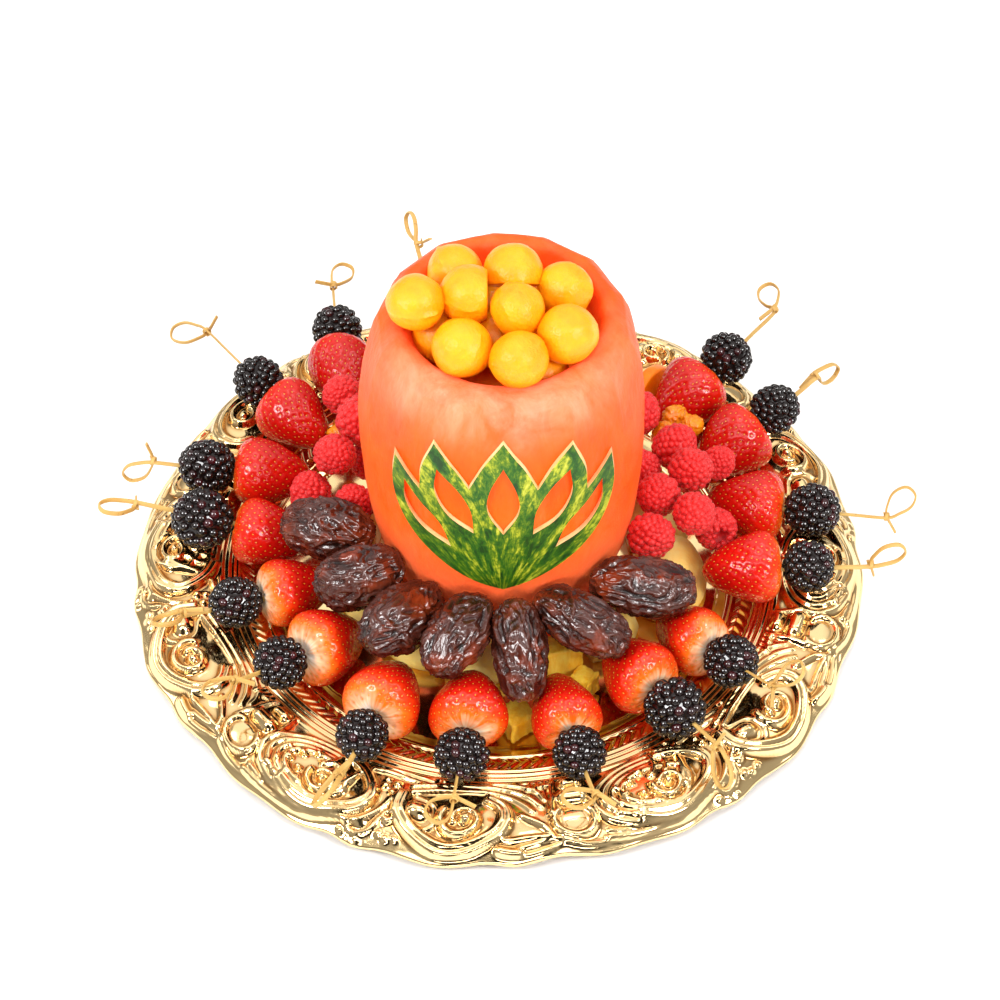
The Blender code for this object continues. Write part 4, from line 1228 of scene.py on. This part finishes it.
def makeDrupes(name, seed, radius, count, size, length, hole=0.0, narrowing=0.0, uneven=0.08, sink=0.95):
    draw = random.Random(seed)

    def slimness(x):  # the berry narrows towards its tip, at x = -1
        return 1 - narrowing * (0.5 - 0.5 * x) * 0.9

    core = addShape(bpy.ops.mesh.primitive_ico_sphere_add, name, subdivisions=3, radius=1.0)
    inner = radius - size * sink
    points = pointsOf(core)
    points[:, 1:] *= slimness(points[:, 0])[:, None]
    points *= np.array((inner * length, inner, inner))
    if hole:
        near = np.exp(-((np.hypot(points[:, 1], points[:, 2])) / (hole * 0.75)) ** 4) * (points[:, 0] > 0)
        points[:, 0] -= near * radius * 1.1
    setPoints(core, points * mm)
    paint(core, "tone", [0.2] * len(points))
    parts = [core]
    out = radius - size
    for k in range(count):
        x = 1 - 2 * (k + 0.5) / count
        ring = math.sqrt(1 - x * x)
        a = k * goldenAngle + draw.uniform(-0.14, 0.14)
        unit = Vector((x, ring * math.cos(a), ring * math.sin(a)))
        if hole and unit.x > math.cos(math.asin(min(hole / radius, 0.95))):
            continue
        thin = slimness(unit.x)
        place = Vector((unit.x * out * length, unit.y * out * thin, unit.z * out * thin))
        bead = addShape(bpy.ops.mesh.primitive_uv_sphere_add, segments=8, ring_count=6, radius=mm)
        own = size * (1 + draw.uniform(-uneven, uneven)) * (0.9 + 0.1 * ring)
        shape = Matrix.Diagonal((own * draw.uniform(0.94, 1.02), own * draw.uniform(1.0, 1.16), own * 1.02, 1))
        bead.data.transform(placed(place + unit * draw.uniform(-0.25, 0.2), pointing(unit, "Z", "X") @ shape))
        paint(bead, "tone", [draw.random()] * len(bead.data.vertices))
        parts.append(bead)
    made = joined(parts, name)
    smooth(made)
    return made


def darkBerryMaterial():
    material, tree, shader = newMaterial("darkBerrySkin", {"Roughness": 0.05, "Specular IOR Level": 0.36})
    stops = ((0.0, darkBerry["black"]), (0.86, darkBerry["black"]), (1.0, darkBerry["wine"]))
    colourFrom(shader, colourRamp(tree, attributeValue(tree, "tone"), stops))
    return material


bamboo = {
    "path": ((0, 0, -1.3), (5.5, 3.4, -0.9), (12, 5.6, -0.5), (18, 3.4, 0), (18.5, -2.6, 0.4), (12, -5.4, 0.7),
             (5, -3.4, 1.0), (0, 0, 1.3), (-4.5, 9, 1.5)),   # the loop: along its aim, to its side and up
    "start": 5.4,
    "drop": 1.3,
    "points": 74,
    "width": 2.4,
    "thickness": 1.1,
    "squareness": 0.55,
    "wrapPoints": 26,
    "wrapTurns": 1.35,
    "wrapWidth": 1.7,
    "wrapThickness": 0.6,
    "straw": linear(184, 138, 64),
    "pale": linear(216, 178, 104),
    "brown": linear(140, 92, 44),
}


def bandAlong(name, points, width, thick, across):  # a flat strip with rounded edges, swept along the points
    points = np.asarray(points, float)
    band = addShape(bpy.ops.mesh.primitive_cylinder_add, name, vertices=10, radius=mm, depth=mm,
                    end_fill_type="NGON")
    editAll(band)
    bpy.ops.mesh.select_all(action="DESELECT")
    bpy.ops.mesh.select_mode(type="EDGE")
    leaveEdit()
    z = [v.co.z for v in band.data.vertices]
    for edge in band.data.edges:
        edge.select = abs(z[edge.vertices[0]] - z[edge.vertices[1]]) > 0.5 * mm
    bpy.ops.object.mode_set(mode="EDIT")
    bpy.ops.mesh.subdivide(number_cuts=len(points) - 2)
    leaveEdit()
    made = pointsOf(band)
    level = np.rint((made[:, 2] / mm + 0.5) * (len(points) - 1)).astype(int)
    around = np.arctan2(made[:, 1], made[:, 0])
    step = np.gradient(points, axis=0)
    step /= np.linalg.norm(step, axis=1)[:, None]
    wide = across - step * (step @ across)[:, None]
    wide /= np.linalg.norm(wide, axis=1)[:, None]
    thin = np.cross(step, wide)
    # a squarish section with soft corners
    w, t = (np.sign(part) * np.abs(part) ** bamboo["squareness"] * 0.5 * size
            for part, size in ((np.cos(around), width), (np.sin(around), thick)))
    setPoints(band, (points[level] + wide[level] * w[:, None] + thin[level] * t[:, None]) * mm)
    turnOutwards(band)
    paint(band, "along", level / (len(points) - 1))
    smooth(band, 45)
    return band


def makeBamboo(name, reach, gap, roll, lean):
    knot = np.array((reach + gap, 0, 0))
    axis = np.array((1.0, 0, 0))
    across = np.array((0, math.cos(math.radians(roll)), math.sin(math.radians(roll))))
    c, s = math.cos(math.radians(lean)), math.sin(math.radians(lean))
    aim, side = c * axis + s * across, c * across - s * axis
    lift = np.cross(aim, side)
    stick = [axis * x - lift * bamboo["drop"] for x in (bamboo["start"], reach, reach + 0.5 * gap)]
    loop = [knot + aim * a + side * b + lift * d for a, b, d in bamboo["path"]]
    whole = curveThrough([*stick, *loop], bamboo["points"])
    band = bandAlong(name, whole, bamboo["width"], bamboo["thickness"], lift)
    # the wrap that holds the crossing
    turns = []
    for t in np.linspace(0, 1, bamboo["wrapPoints"]):
        a = t * bamboo["wrapTurns"] * fullTurn + 0.6
        turns.append(knot + axis * (1.5 - 3.2 * t) * c + across * 1.75 * math.cos(a) + lift * 2.3 * math.sin(a))
    wrap = bandAlong(name + "Wrap", turns, bamboo["wrapWidth"], bamboo["wrapThickness"], axis)
    return joined([band, wrap], name)


def bambooMaterial():
    material, tree, shader = newMaterial("bambooStrip", {"Roughness": 0.42, "Specular IOR Level": 0.4})
    place = objectPlace(tree)
    colour = mixColour(tree, noiseValue(tree, place, 90.0, 3.0), bamboo["straw"], bamboo["pale"])
    spots = times(tree, spreadValue(tree, noiseValue(tree, place, 330.0, 3.0, 0.7), 0.63, 0.70), 0.7)
    colourFrom(shader, mixColour(tree, spots, colour, bamboo["brown"]))
    bumpInto(tree, shader, noiseValue(tree, place, 1300.0, 3.0), 0.0002, 0.5)
    return material


def makePicks():
    masters = [makeStrawberry(k) for k in range(strawberry["masters"])]
    print("strawberry masters ready")
    berries = [makeDrupes("darkBerryMaster%d" % k, 500 + k, darkBerry["radius"], darkBerry["drupes"] + 4 * k,
                          darkBerry["drupe"], darkBerry["length"]) for k in range(darkBerry["masters"])]
    kinds = strawberry["kinds"]
    skins = [(mark, strawberryMaterial("strawberry" + word, share)) for word, mark, share in kinds]
    dark = darkBerryMaterial()
    straw = bambooMaterial()
    draw = random.Random(11)
    for k, (widest, middle, size, berrySize, gap, roll, lean, ripe) in enumerate(picks["places"], 1):
        node = "fruit_pick_%02d" % k
        start, end = Vector(widest), Vector(middle)
        reach = (end - start).length
        aim = placed(start, pointing(end - start))
        spin = Matrix.Rotation(draw.uniform(0, 6.28), 4, "X")
        grow = Matrix.Diagonal((1, size / strawberry["radius"], size / strawberry["radius"], 1))
        fruit = copyOf(masters[k % len(masters)], "strawberry%02d" % k, aim @ grow @ spin)
        skin = [made for mark, made in skins if ripe >= mark][-1]
        dress(fruit, skin, "pick_fruit", node)
        turn = Matrix.Rotation(draw.uniform(0, 6.28), 4, "X")
        turn = turn @ Matrix.Rotation(draw.uniform(-0.35, 0.35), 4, "Y")
        scale = berrySize / darkBerry["radius"]
        shape = Matrix.Diagonal((scale * draw.uniform(0.94, 1.04), scale, scale, 1))
        local = aim @ placed((reach, 0, 0), turn @ shape)
        dress(copyOf(berries[k % len(berries)], "darkBerry%02d" % k, local), dark, "pick_fruit", node)
        strip = makeBamboo("bambooPick%02d" % k, reach, gap, roll, lean)
        strip.data.transform(aim)
        dress(strip, straw, "pick_fruit", node)
    discard(*masters, *berries)


makePicks()
print("fruit picks ready")


# the dates: wrinkled skins, dark and glossy

dates = {
    "places": (  # outer end, inner end, length and thickness
        ((-91.9, -6.1, 45.2), (-71.7, -11.5, 47.4), 47.0, 28.0),
        ((-74.2, -42, 44.9), (-57.1, -39.5, 49.8), 44.0, 28.0),
        ((-52.1, -73.1, 48.3), (-37.2, -57, 46.5), 48.0, 28.0),
        ((-24.4, -85.7, 48.2), (-13.4, -68.1, 51.2), 46.0, 27.0),
        ((10.7, -92.5, 39), (8.3, -72.5, 51), 49.0, 25.8),
        ((49, -73.7, 45.7), (28, -64.2, 51.9), 49.0, 27.0),
        ((80.8, -48, 47.9), (54.8, -46.6, 49.5), 51.0, 28.0)),
    "shape": ((0.0, 0.0), (0.02, 0.26), (0.06, 0.47), (0.12, 0.67), (0.22, 0.86), (0.42, 1.0), (0.62, 0.99),
              (0.80, 0.84), (0.90, 0.66), (0.96, 0.44), (0.99, 0.22), (1.0, 0.0)),
    "steps": 156,
    "rows": 104,
    "depth": 2.5,
    "foldSeed": 1795526085,
    "stemEnds": (1, 5),      # dates whose pale stem scar is seen, at the outer end
    # painted shade: the colour down in the hollows between the folds
    "dark": linear(16, 6, 4),
    "skin": linear(50, 17, 9),
    "amber": linear(120, 42, 12),
    # a grey bloom tone, which the crests are mixed toward as painted light
    "bloomAndCrestLight": linear(92, 50, 38),
    "scar": linear(150, 92, 62),
}


noise.seed_set(dates["foldSeed"])   # without it Blender draws the vector noise from the clock


def warped(points, seed, stretch, scale, bend, push):  # places that meander along a fruit, and their warp
    shift = Vector((seed * 7.3, seed * 3.1, seed * 5.7))
    for p in points:
        place = Vector((p[0] * stretch, p[1], p[2])) * scale + shift
        yield place, noise.noise_vector(place * bend) * push


def wrinkles(points, seed, stretch, scale):  # folds with sharp valleys that meander along the fruit
    made = []
    for place, warp in warped(points, seed, stretch, scale, 0.7, 0.8):
        first = min(abs(noise.noise(place + warp)) * 2, 1)
        second = min(abs(noise.noise((place + warp * 0.7) * 2.1 + Vector((3, 9, 1)))) * 2, 1)
        made.append(0.66 * first ** 0.6 + 0.34 * second ** 0.7)
    return np.array(made)


def folds(points, seed, stretch, scale):  # narrow raised folds with smooth hollows between them
    made = []
    for place, warp in warped(points, seed, stretch, scale, 0.6, 1.1):
        first = max(1 - abs(noise.noise(place + warp)) * 3.0, 0)
        second = max(1 - abs(noise.noise((place + warp * 0.6) * 1.9 + Vector((3, 9, 1)))) * 3.2, 0)
        broad = noise.noise(place * 0.6 + Vector((9, 1, 4)))
        made.append(0.18 + 0.56 * first ** 0.8 + 0.30 * second ** 0.9 + 0.4 * broad)
    return np.array(made)


def makeDate(index, outer, inner, length, thick):
    draw = random.Random(700 + index)
    date = lathe("date%d" % index, closedLine(dates["shape"], thick / 2, length, dates["rows"]), dates["steps"])
    date.data.transform(placed((-0.5 * length, 0, 0), Matrix.Rotation(math.pi / 2, 4, "Y")))
    points = pointsOf(date) / mm
    turn = np.arctan2(points[:, 2], points[:, 1])
    low = noiseAt(points, 0.06, (index * 9, 2, 5))
    points[:, 1:] *= (1 + 0.05 * np.cos(2 * turn + draw.uniform(0, 3)) + 0.07 * low)[:, None]
    setPoints(date, points * mm)
    ridge = folds(points, index, 0.5, 0.2)
    calm = ease(np.hypot(points[:, 1], points[:, 2]), 1.5, 6.0)
    points += normalsOf(date) * ((ridge - 0.55) * dates["depth"] * (0.45 + 0.55 * calm))[:, None]
    scar = np.zeros(len(points))
    if index in dates["stemEnds"]:  # a shallow round scar with a raised ring
        radial = np.hypot(points[:, 1], points[:, 2])
        end = points[:, 0] > 0
        scar = np.where(end, 1 - ease(radial, 2.6, 3.6), 0)
        cap = 0.5 * length - 0.9 + 0.8 * np.exp(-((radial - 3.3) / 0.7) ** 2)
        points[:, 0] = np.where(end, np.minimum(points[:, 0], cap), points[:, 0])
    setPoints(date, points * mm)
    paint(date, "ridge", np.clip(ridge, 0, 1))
    paint(date, "scar", scar)
    smooth(date)
    low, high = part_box("date_%d" % index)
    date.data.transform(Matrix.Translation((low + high) / 2) @ pointing(Vector(outer) - Vector(inner)))
    return date


def dateMaterial():
    material, tree, shader = newMaterial("dateSkin", {"Roughness": 0.25, "Specular IOR Level": 0.5})
    place = objectPlace(tree)
    # painted shade and light by fold height: dark in the hollows between the folds, lighter on the crests
    litCrest = mixTriple(dates["skin"], dates["bloomAndCrestLight"], 0.3)
    stops = ((0.05, dates["dark"]), (0.5, dates["skin"]), (1.0, litCrest))
    colour = colourRamp(tree, attributeValue(tree, "ridge"), stops)
    warm = spreadValue(tree, noiseValue(tree, place, 70.0, 4.0), 0.52, 0.68, 0.0, 0.6)
    colour = mixColour(tree, warm, colour, dates["amber"])
    colourFrom(shader, mixColour(tree, attributeValue(tree, "scar"), colour, dates["scar"]))
    dull = noiseValue(tree, place, 48.0, 3.0, 0.6, 0.8)
    roughnessFrom(shader, spreadValue(tree, dull, 0.35, 0.7, 0.11, 0.28))
    bumpInto(tree, shader, noiseValue(tree, place, 420.0, 4.0), 0.0003, 0.5)
    return material


dateSkin = dateMaterial()
for k, row in enumerate(dates["places"], 1):
    dress(makeDate(k, *row), dateSkin, "date_skin", "date_%d" % k)
print("dates ready")


raspberries = {
    "places": (  # middle, radius, the way its tip points
        ((86.8, 47, 43.9), 11.0, (.6, .5, .6)), ((93.7, 25.9, 50), 11.2, (.5, -.5, .7)),
        ((76.9, 10, 49.4), 11.2, (-.3, -.5, .8)), ((93.9, -4.7, 52.1), 10.8, (.4, -.7, .5)),
        ((73.3, -13.5, 46), 11.5, (.7, -.4, .5)), ((107.8, 38.2, 41.6), 8.6, (.6, .2, .7)),
        ((105.2, 2.2, 33.2), 10.0, (-.4, .6, .5)), ((70.1, 67.4, 46), 10.5, (.3, .6, .6)),
        ((70, 33.4, 41.5), 10.0, (.2, .2, .9)), ((-78.3, 81.7, 44.2), 10.5, (-.3, -.6, .6)),
        ((-68, 57.3, 51.3), 13.0, (-.3, -.5, .8)), ((-79.7, 35.8, 49.6), 10.8, (.4, -.6, .5)),
        ((-92, 24.3, 35), 10.8, (-.2, .4, .8)), ((-70.4, 13.2, 39.5), 10.0, (-.5, -.5, .6)),
        ((-65.3, 50.6, 29.3), 9.5, (-.5, .3, .7))),
    "open": 7,               # this one shows the hole that its stem left
    "openWay": (0.25, -0.80, 0.25),
    "radius": 10.5,
    "drupes": 156,
    "beads": {"size": 1.68, "length": 1.05, "uneven": 0.16, "sink": 0.64},
    "narrowing": 0.22,
    "hole": 4.6,
    "grow": 1.07,
    "masters": 3,
    "red": linear(196, 12, 18),
    "rose": linear(234, 48, 46),
    "sheen": (1.0, 0.66, 0.68, 1),
}


def raspberryMaterial():
    material, tree, shader = newMaterial("raspberrySkin", {
        "Roughness": 0.38, "Specular IOR Level": 0.4, "Sheen Weight": 0.22, "Sheen Roughness": 0.4,
        "Sheen Tint": raspberries["sheen"],
        "Subsurface Weight": 0.12, "Subsurface Radius": (0.004, 0.001, 0.001)})
    place = objectPlace(tree)
    tone = sumOf(tree, (attributeValue(tree, "tone"), 0.5), (noiseValue(tree, place, 90.0), 0.5))
    colourFrom(shader, mixColour(tree, tone, raspberries["red"], raspberries["rose"]))
    bumpInto(tree, shader, noiseValue(tree, place, 1500.0, 3.0, 0.7), 0.00025, 0.7)
    return material


def makeRaspberries():
    skin = raspberryMaterial()
    size, count = raspberries["radius"], raspberries["drupes"]
    same = raspberries["beads"]
    masters = [makeDrupes("raspberryMaster%d" % k, 800 + k, size, count - 6 * k, **same,
                          narrowing=raspberries["narrowing"]) for k in range(raspberries["masters"])]
    hollow = makeDrupes("raspberryOpen", 820, size, count, **same, hole=raspberries["hole"])
    draw = random.Random(23)
    for k, (middle, radius, tip) in enumerate(raspberries["places"], 1):
        isOpen = k == raspberries["open"]
        way = Vector(raspberries["openWay"]) if isOpen else -Vector(tip)
        turn = pointing(way) @ Matrix.Rotation(draw.uniform(0, 6.28), 4, "X")
        scale = radius / size * raspberries["grow"]
        grow = Matrix.Diagonal((scale * draw.uniform(0.94, 1.0), scale * draw.uniform(0.97, 1.02), scale, 1))
        source = hollow if isOpen else masters[k % len(masters)]
        fruit = copyOf(source, "raspberry%02d" % k, placed(middle, turn @ grow))
        dress(fruit, skin, "raspberry", "raspberry_%02d" % k)
    discard(*masters, hollow)


makeRaspberries()
print("raspberries ready")


# the bed: melon slices round the bowl, pineapple, an apricot slice and golden raisins

slices = {
    "places": (  # from and to degrees round the bowl, inner and outer radius, height at the back, kind
        (-29, 2.4, 64, 101, 26, "orange"), (3.6, 41, 62, 96, 28, "orange"), (45, 82, 62, 90, 29, "pale"),
        (87, 124, 62, 89, 28, "orange"), (154, 180, 62, 88, 27, "orange"), (184, 214, 62, 86, 27, "pale"),
        (218, 246, 62, 84, 28, "pale"), (249, 272, 62, 82, 28, "pale"), (303, 325, 62, 84, 28, "pale")),
    "base": 3.35,
    "orange": (linear(255, 206, 100), linear(255, 232, 150)),
    "pale": (linear(252, 214, 96), linear(255, 238, 156)),
}


def makeSlice(index, first, last, inner, outer, back):
    section = [(inner, 0), (outer - 3, 0), (outer, 6), (outer - 5, 0.72 * back), ((inner + outer) / 2, back),
               (inner + 1.5, 0.8 * back)]
    ring = []   # the smooth line is drawn a little to the hard corners
    for p in curveThrough([*section, section[0]], 44)[:-1]:
        corner = min(section, key=lambda q: np.hypot(q[0] - p[0], q[1] - p[1]))
        ring.append(tuple(0.72 * p + 0.28 * np.array(corner)))
    steps = max(12, int((last - first) * 1.3))
    turned, start = math.radians(last - first), math.radians(last)   # a spin runs clockwise
    wedge = lathe("melonSlice%d" % index, ring, steps, turned, closed=True, start=start)
    points = pointsOf(wedge) / mm
    turn = np.degrees(np.arctan2(points[:, 1], points[:, 0]))
    turn = np.where(turn < min(first, 0) - 1, turn + 360, turn)
    share = np.clip((turn - first) / (last - first), 0, 1)
    radial = np.hypot(points[:, 0], points[:, 1])
    shrink = 0.5 + 0.5 * np.sin(np.pi * (0.12 + 0.76 * share))   # thinner towards both ends
    real = inner + (radial - inner) * (0.4 + 0.6 * shrink)
    low = noiseAt(points, 0.05, (index * 5, 0, 2))
    points[:, :2] *= (real / radial)[:, None]
    points[:, 2] = np.maximum(points[:, 2] * shrink * 0.88 * (1 + 0.06 * low), 0)
    setPoints(wedge, (points + (*melon["axis"], slices["base"])) * mm)
    editAll(wedge)
    bpy.ops.mesh.select_all(action="DESELECT")
    bpy.ops.mesh.select_non_manifold()
    bpy.ops.mesh.fill_holes(sides=0)
    leaveEdit()
    turnOutwards(wedge)
    bevelEdges(wedge, 1.2, 3, 50)
    smooth(wedge, 40)
    return wedge


sliceFlesh = {kind: juicyMottled("slice" + kind.title(), *slices[kind], 60.0) for kind in ("orange", "pale")}
for k, (*shape, kind) in enumerate(slices["places"], 1):
    dress(makeSlice(k, *shape), sliceFlesh[kind], "melon_" + kind, "melon_slice_%d" % k)


pineapple = {
    "places": (  # middle, size and turn
        ((28.5, -66.5, 17.5), (22, 13, 27), 14), ((8.5, -96, 10.5), (16, 15, 13), 35),
        ((40, -76, 11.5), (12, 12, 15), -35)),
    "rounding": 1.4,
    "deep": linear(240, 176, 28),
    "pale": linear(255, 226, 92),
}


def makeChunk(name, size, seed):
    chunk = addShape(bpy.ops.mesh.primitive_cube_add, name, size=1)
    chunk.data.transform(Matrix.Diagonal((*(Vector(size) * mm), 1)))
    editAll(chunk)
    bpy.ops.mesh.bevel(offset=pineapple["rounding"] * mm, segments=2, affect="EDGES")
    bpy.ops.mesh.select_all(action="SELECT")
    bpy.ops.mesh.subdivide(number_cuts=9)
    leaveEdit()
    points = pointsOf(chunk) / mm
    fibres = fractalAt(points * (0.55, 0.55, 0.10), 1, (seed, 0, 0), 0.8, 2.2, 4)
    low = noiseAt(points, 0.12, (0, seed, 0))
    points += normalsOf(chunk) * (0.8 * fibres + 1.1 * low - 0.6)[:, None]
    setPoints(chunk, points * mm)
    smooth(chunk, 60)
    return chunk


pineappleFlesh = juicyMottled(
    "pineappleFlesh", pineapple["deep"], pineapple["pale"], 190.0, 0.22, gloss=(0.3, 0.28))
for k, (place, size, turn) in enumerate(pineapple["places"], 1):
    chunk = makeChunk("pineapple%d" % k, size, 20 + 7 * k)
    chunk.data.transform(placed(place, Matrix.Rotation(math.radians(turn), 4, "Z")))
    dress(chunk, pineappleFlesh, "pineapple", "pineapple_%d" % k)


apricot = {
    "radius": 17.0,
    "length": 15.0,
    "half": 3.6,             # half its thickness
    "rounding": 1.5,
    "place": (78, 107, 17.5),
    "turn": (-10, 0, 52),
    "deep": linear(255, 112, 0),
    "pale": linear(255, 142, 2),
}


def makeApricot():
    turns = np.radians(range(0, 181, 6))
    bow = [(apricot["radius"] * math.cos(a), apricot["length"] * math.sin(a)) for a in turns]
    piece = prismOf("apricotSlice", bow, -apricot["half"], apricot["half"])
    bevelEdges(piece, apricot["rounding"], 4, 40)
    piece.data.transform(placed(apricot["place"], turnBy(*np.radians(apricot["turn"]))))
    smooth(piece, 50)
    return piece


apricotFlesh = juicyMottled("apricotFlesh", apricot["deep"], apricot["pale"], 120.0, gloss=(0.34, 0.28))
dress(makeApricot(), apricotFlesh, "apricot", "apricot_slice")


raisins = {
    "groups": (((89, 64, 35), (82, 62, 37), (96, 63.5, 41), (88, 72, 39)),
               ((-77, 75, 27), (-75, 67, 31), (-81, 55, 33), (-79, 62, 35))),
    "radius": 6.4,
    "depth": 2.3,
    "oval": (1.08, 0.92, 0.86),
    "deep": linear(206, 96, 2),
    "pale": linear(252, 162, 22),
}


def makeRaisin(name, seed):
    radius = raisins["radius"]
    raisin = addShape(bpy.ops.mesh.primitive_uv_sphere_add, name, segments=48, ring_count=28,
                      radius=radius * mm)
    points = pointsOf(raisin) / mm
    points += points / radius * ((wrinkles(points, seed, 0.6, 0.3) - 0.7) * raisins["depth"])[:, None]
    setPoints(raisin, points * raisins["oval"] * mm)
    smooth(raisin)
    return raisin


def makeRaisins():
    skin = juicyMottled("goldenRaisin", raisins["deep"], raisins["pale"], 150.0, gloss=(0.24, 0.5), depth=0.4,
                        reach=(0.006, 0.003, 0.0006), grain=None, relief=(0.0006, 0.6))
    draw = random.Random(31)
    for group, places in enumerate(raisins["groups"], 1):
        for k, place in enumerate(places, 1):
            raisin = makeRaisin("goldenRaisin%d_%d" % (group, k), 50 + 9 * group + k)
            turn = turnBy(draw.uniform(-1, 1), draw.uniform(-1, 1), draw.uniform(0, 6))
            raisin.data.transform(placed(place, turn))
            dress(raisin, skin, "golden_raisin", "golden_raisins_%d" % group)


makeRaisins()
print("bed of slices, pineapple, apricot and raisins ready")

addShine()
print("sparkle lights ready")
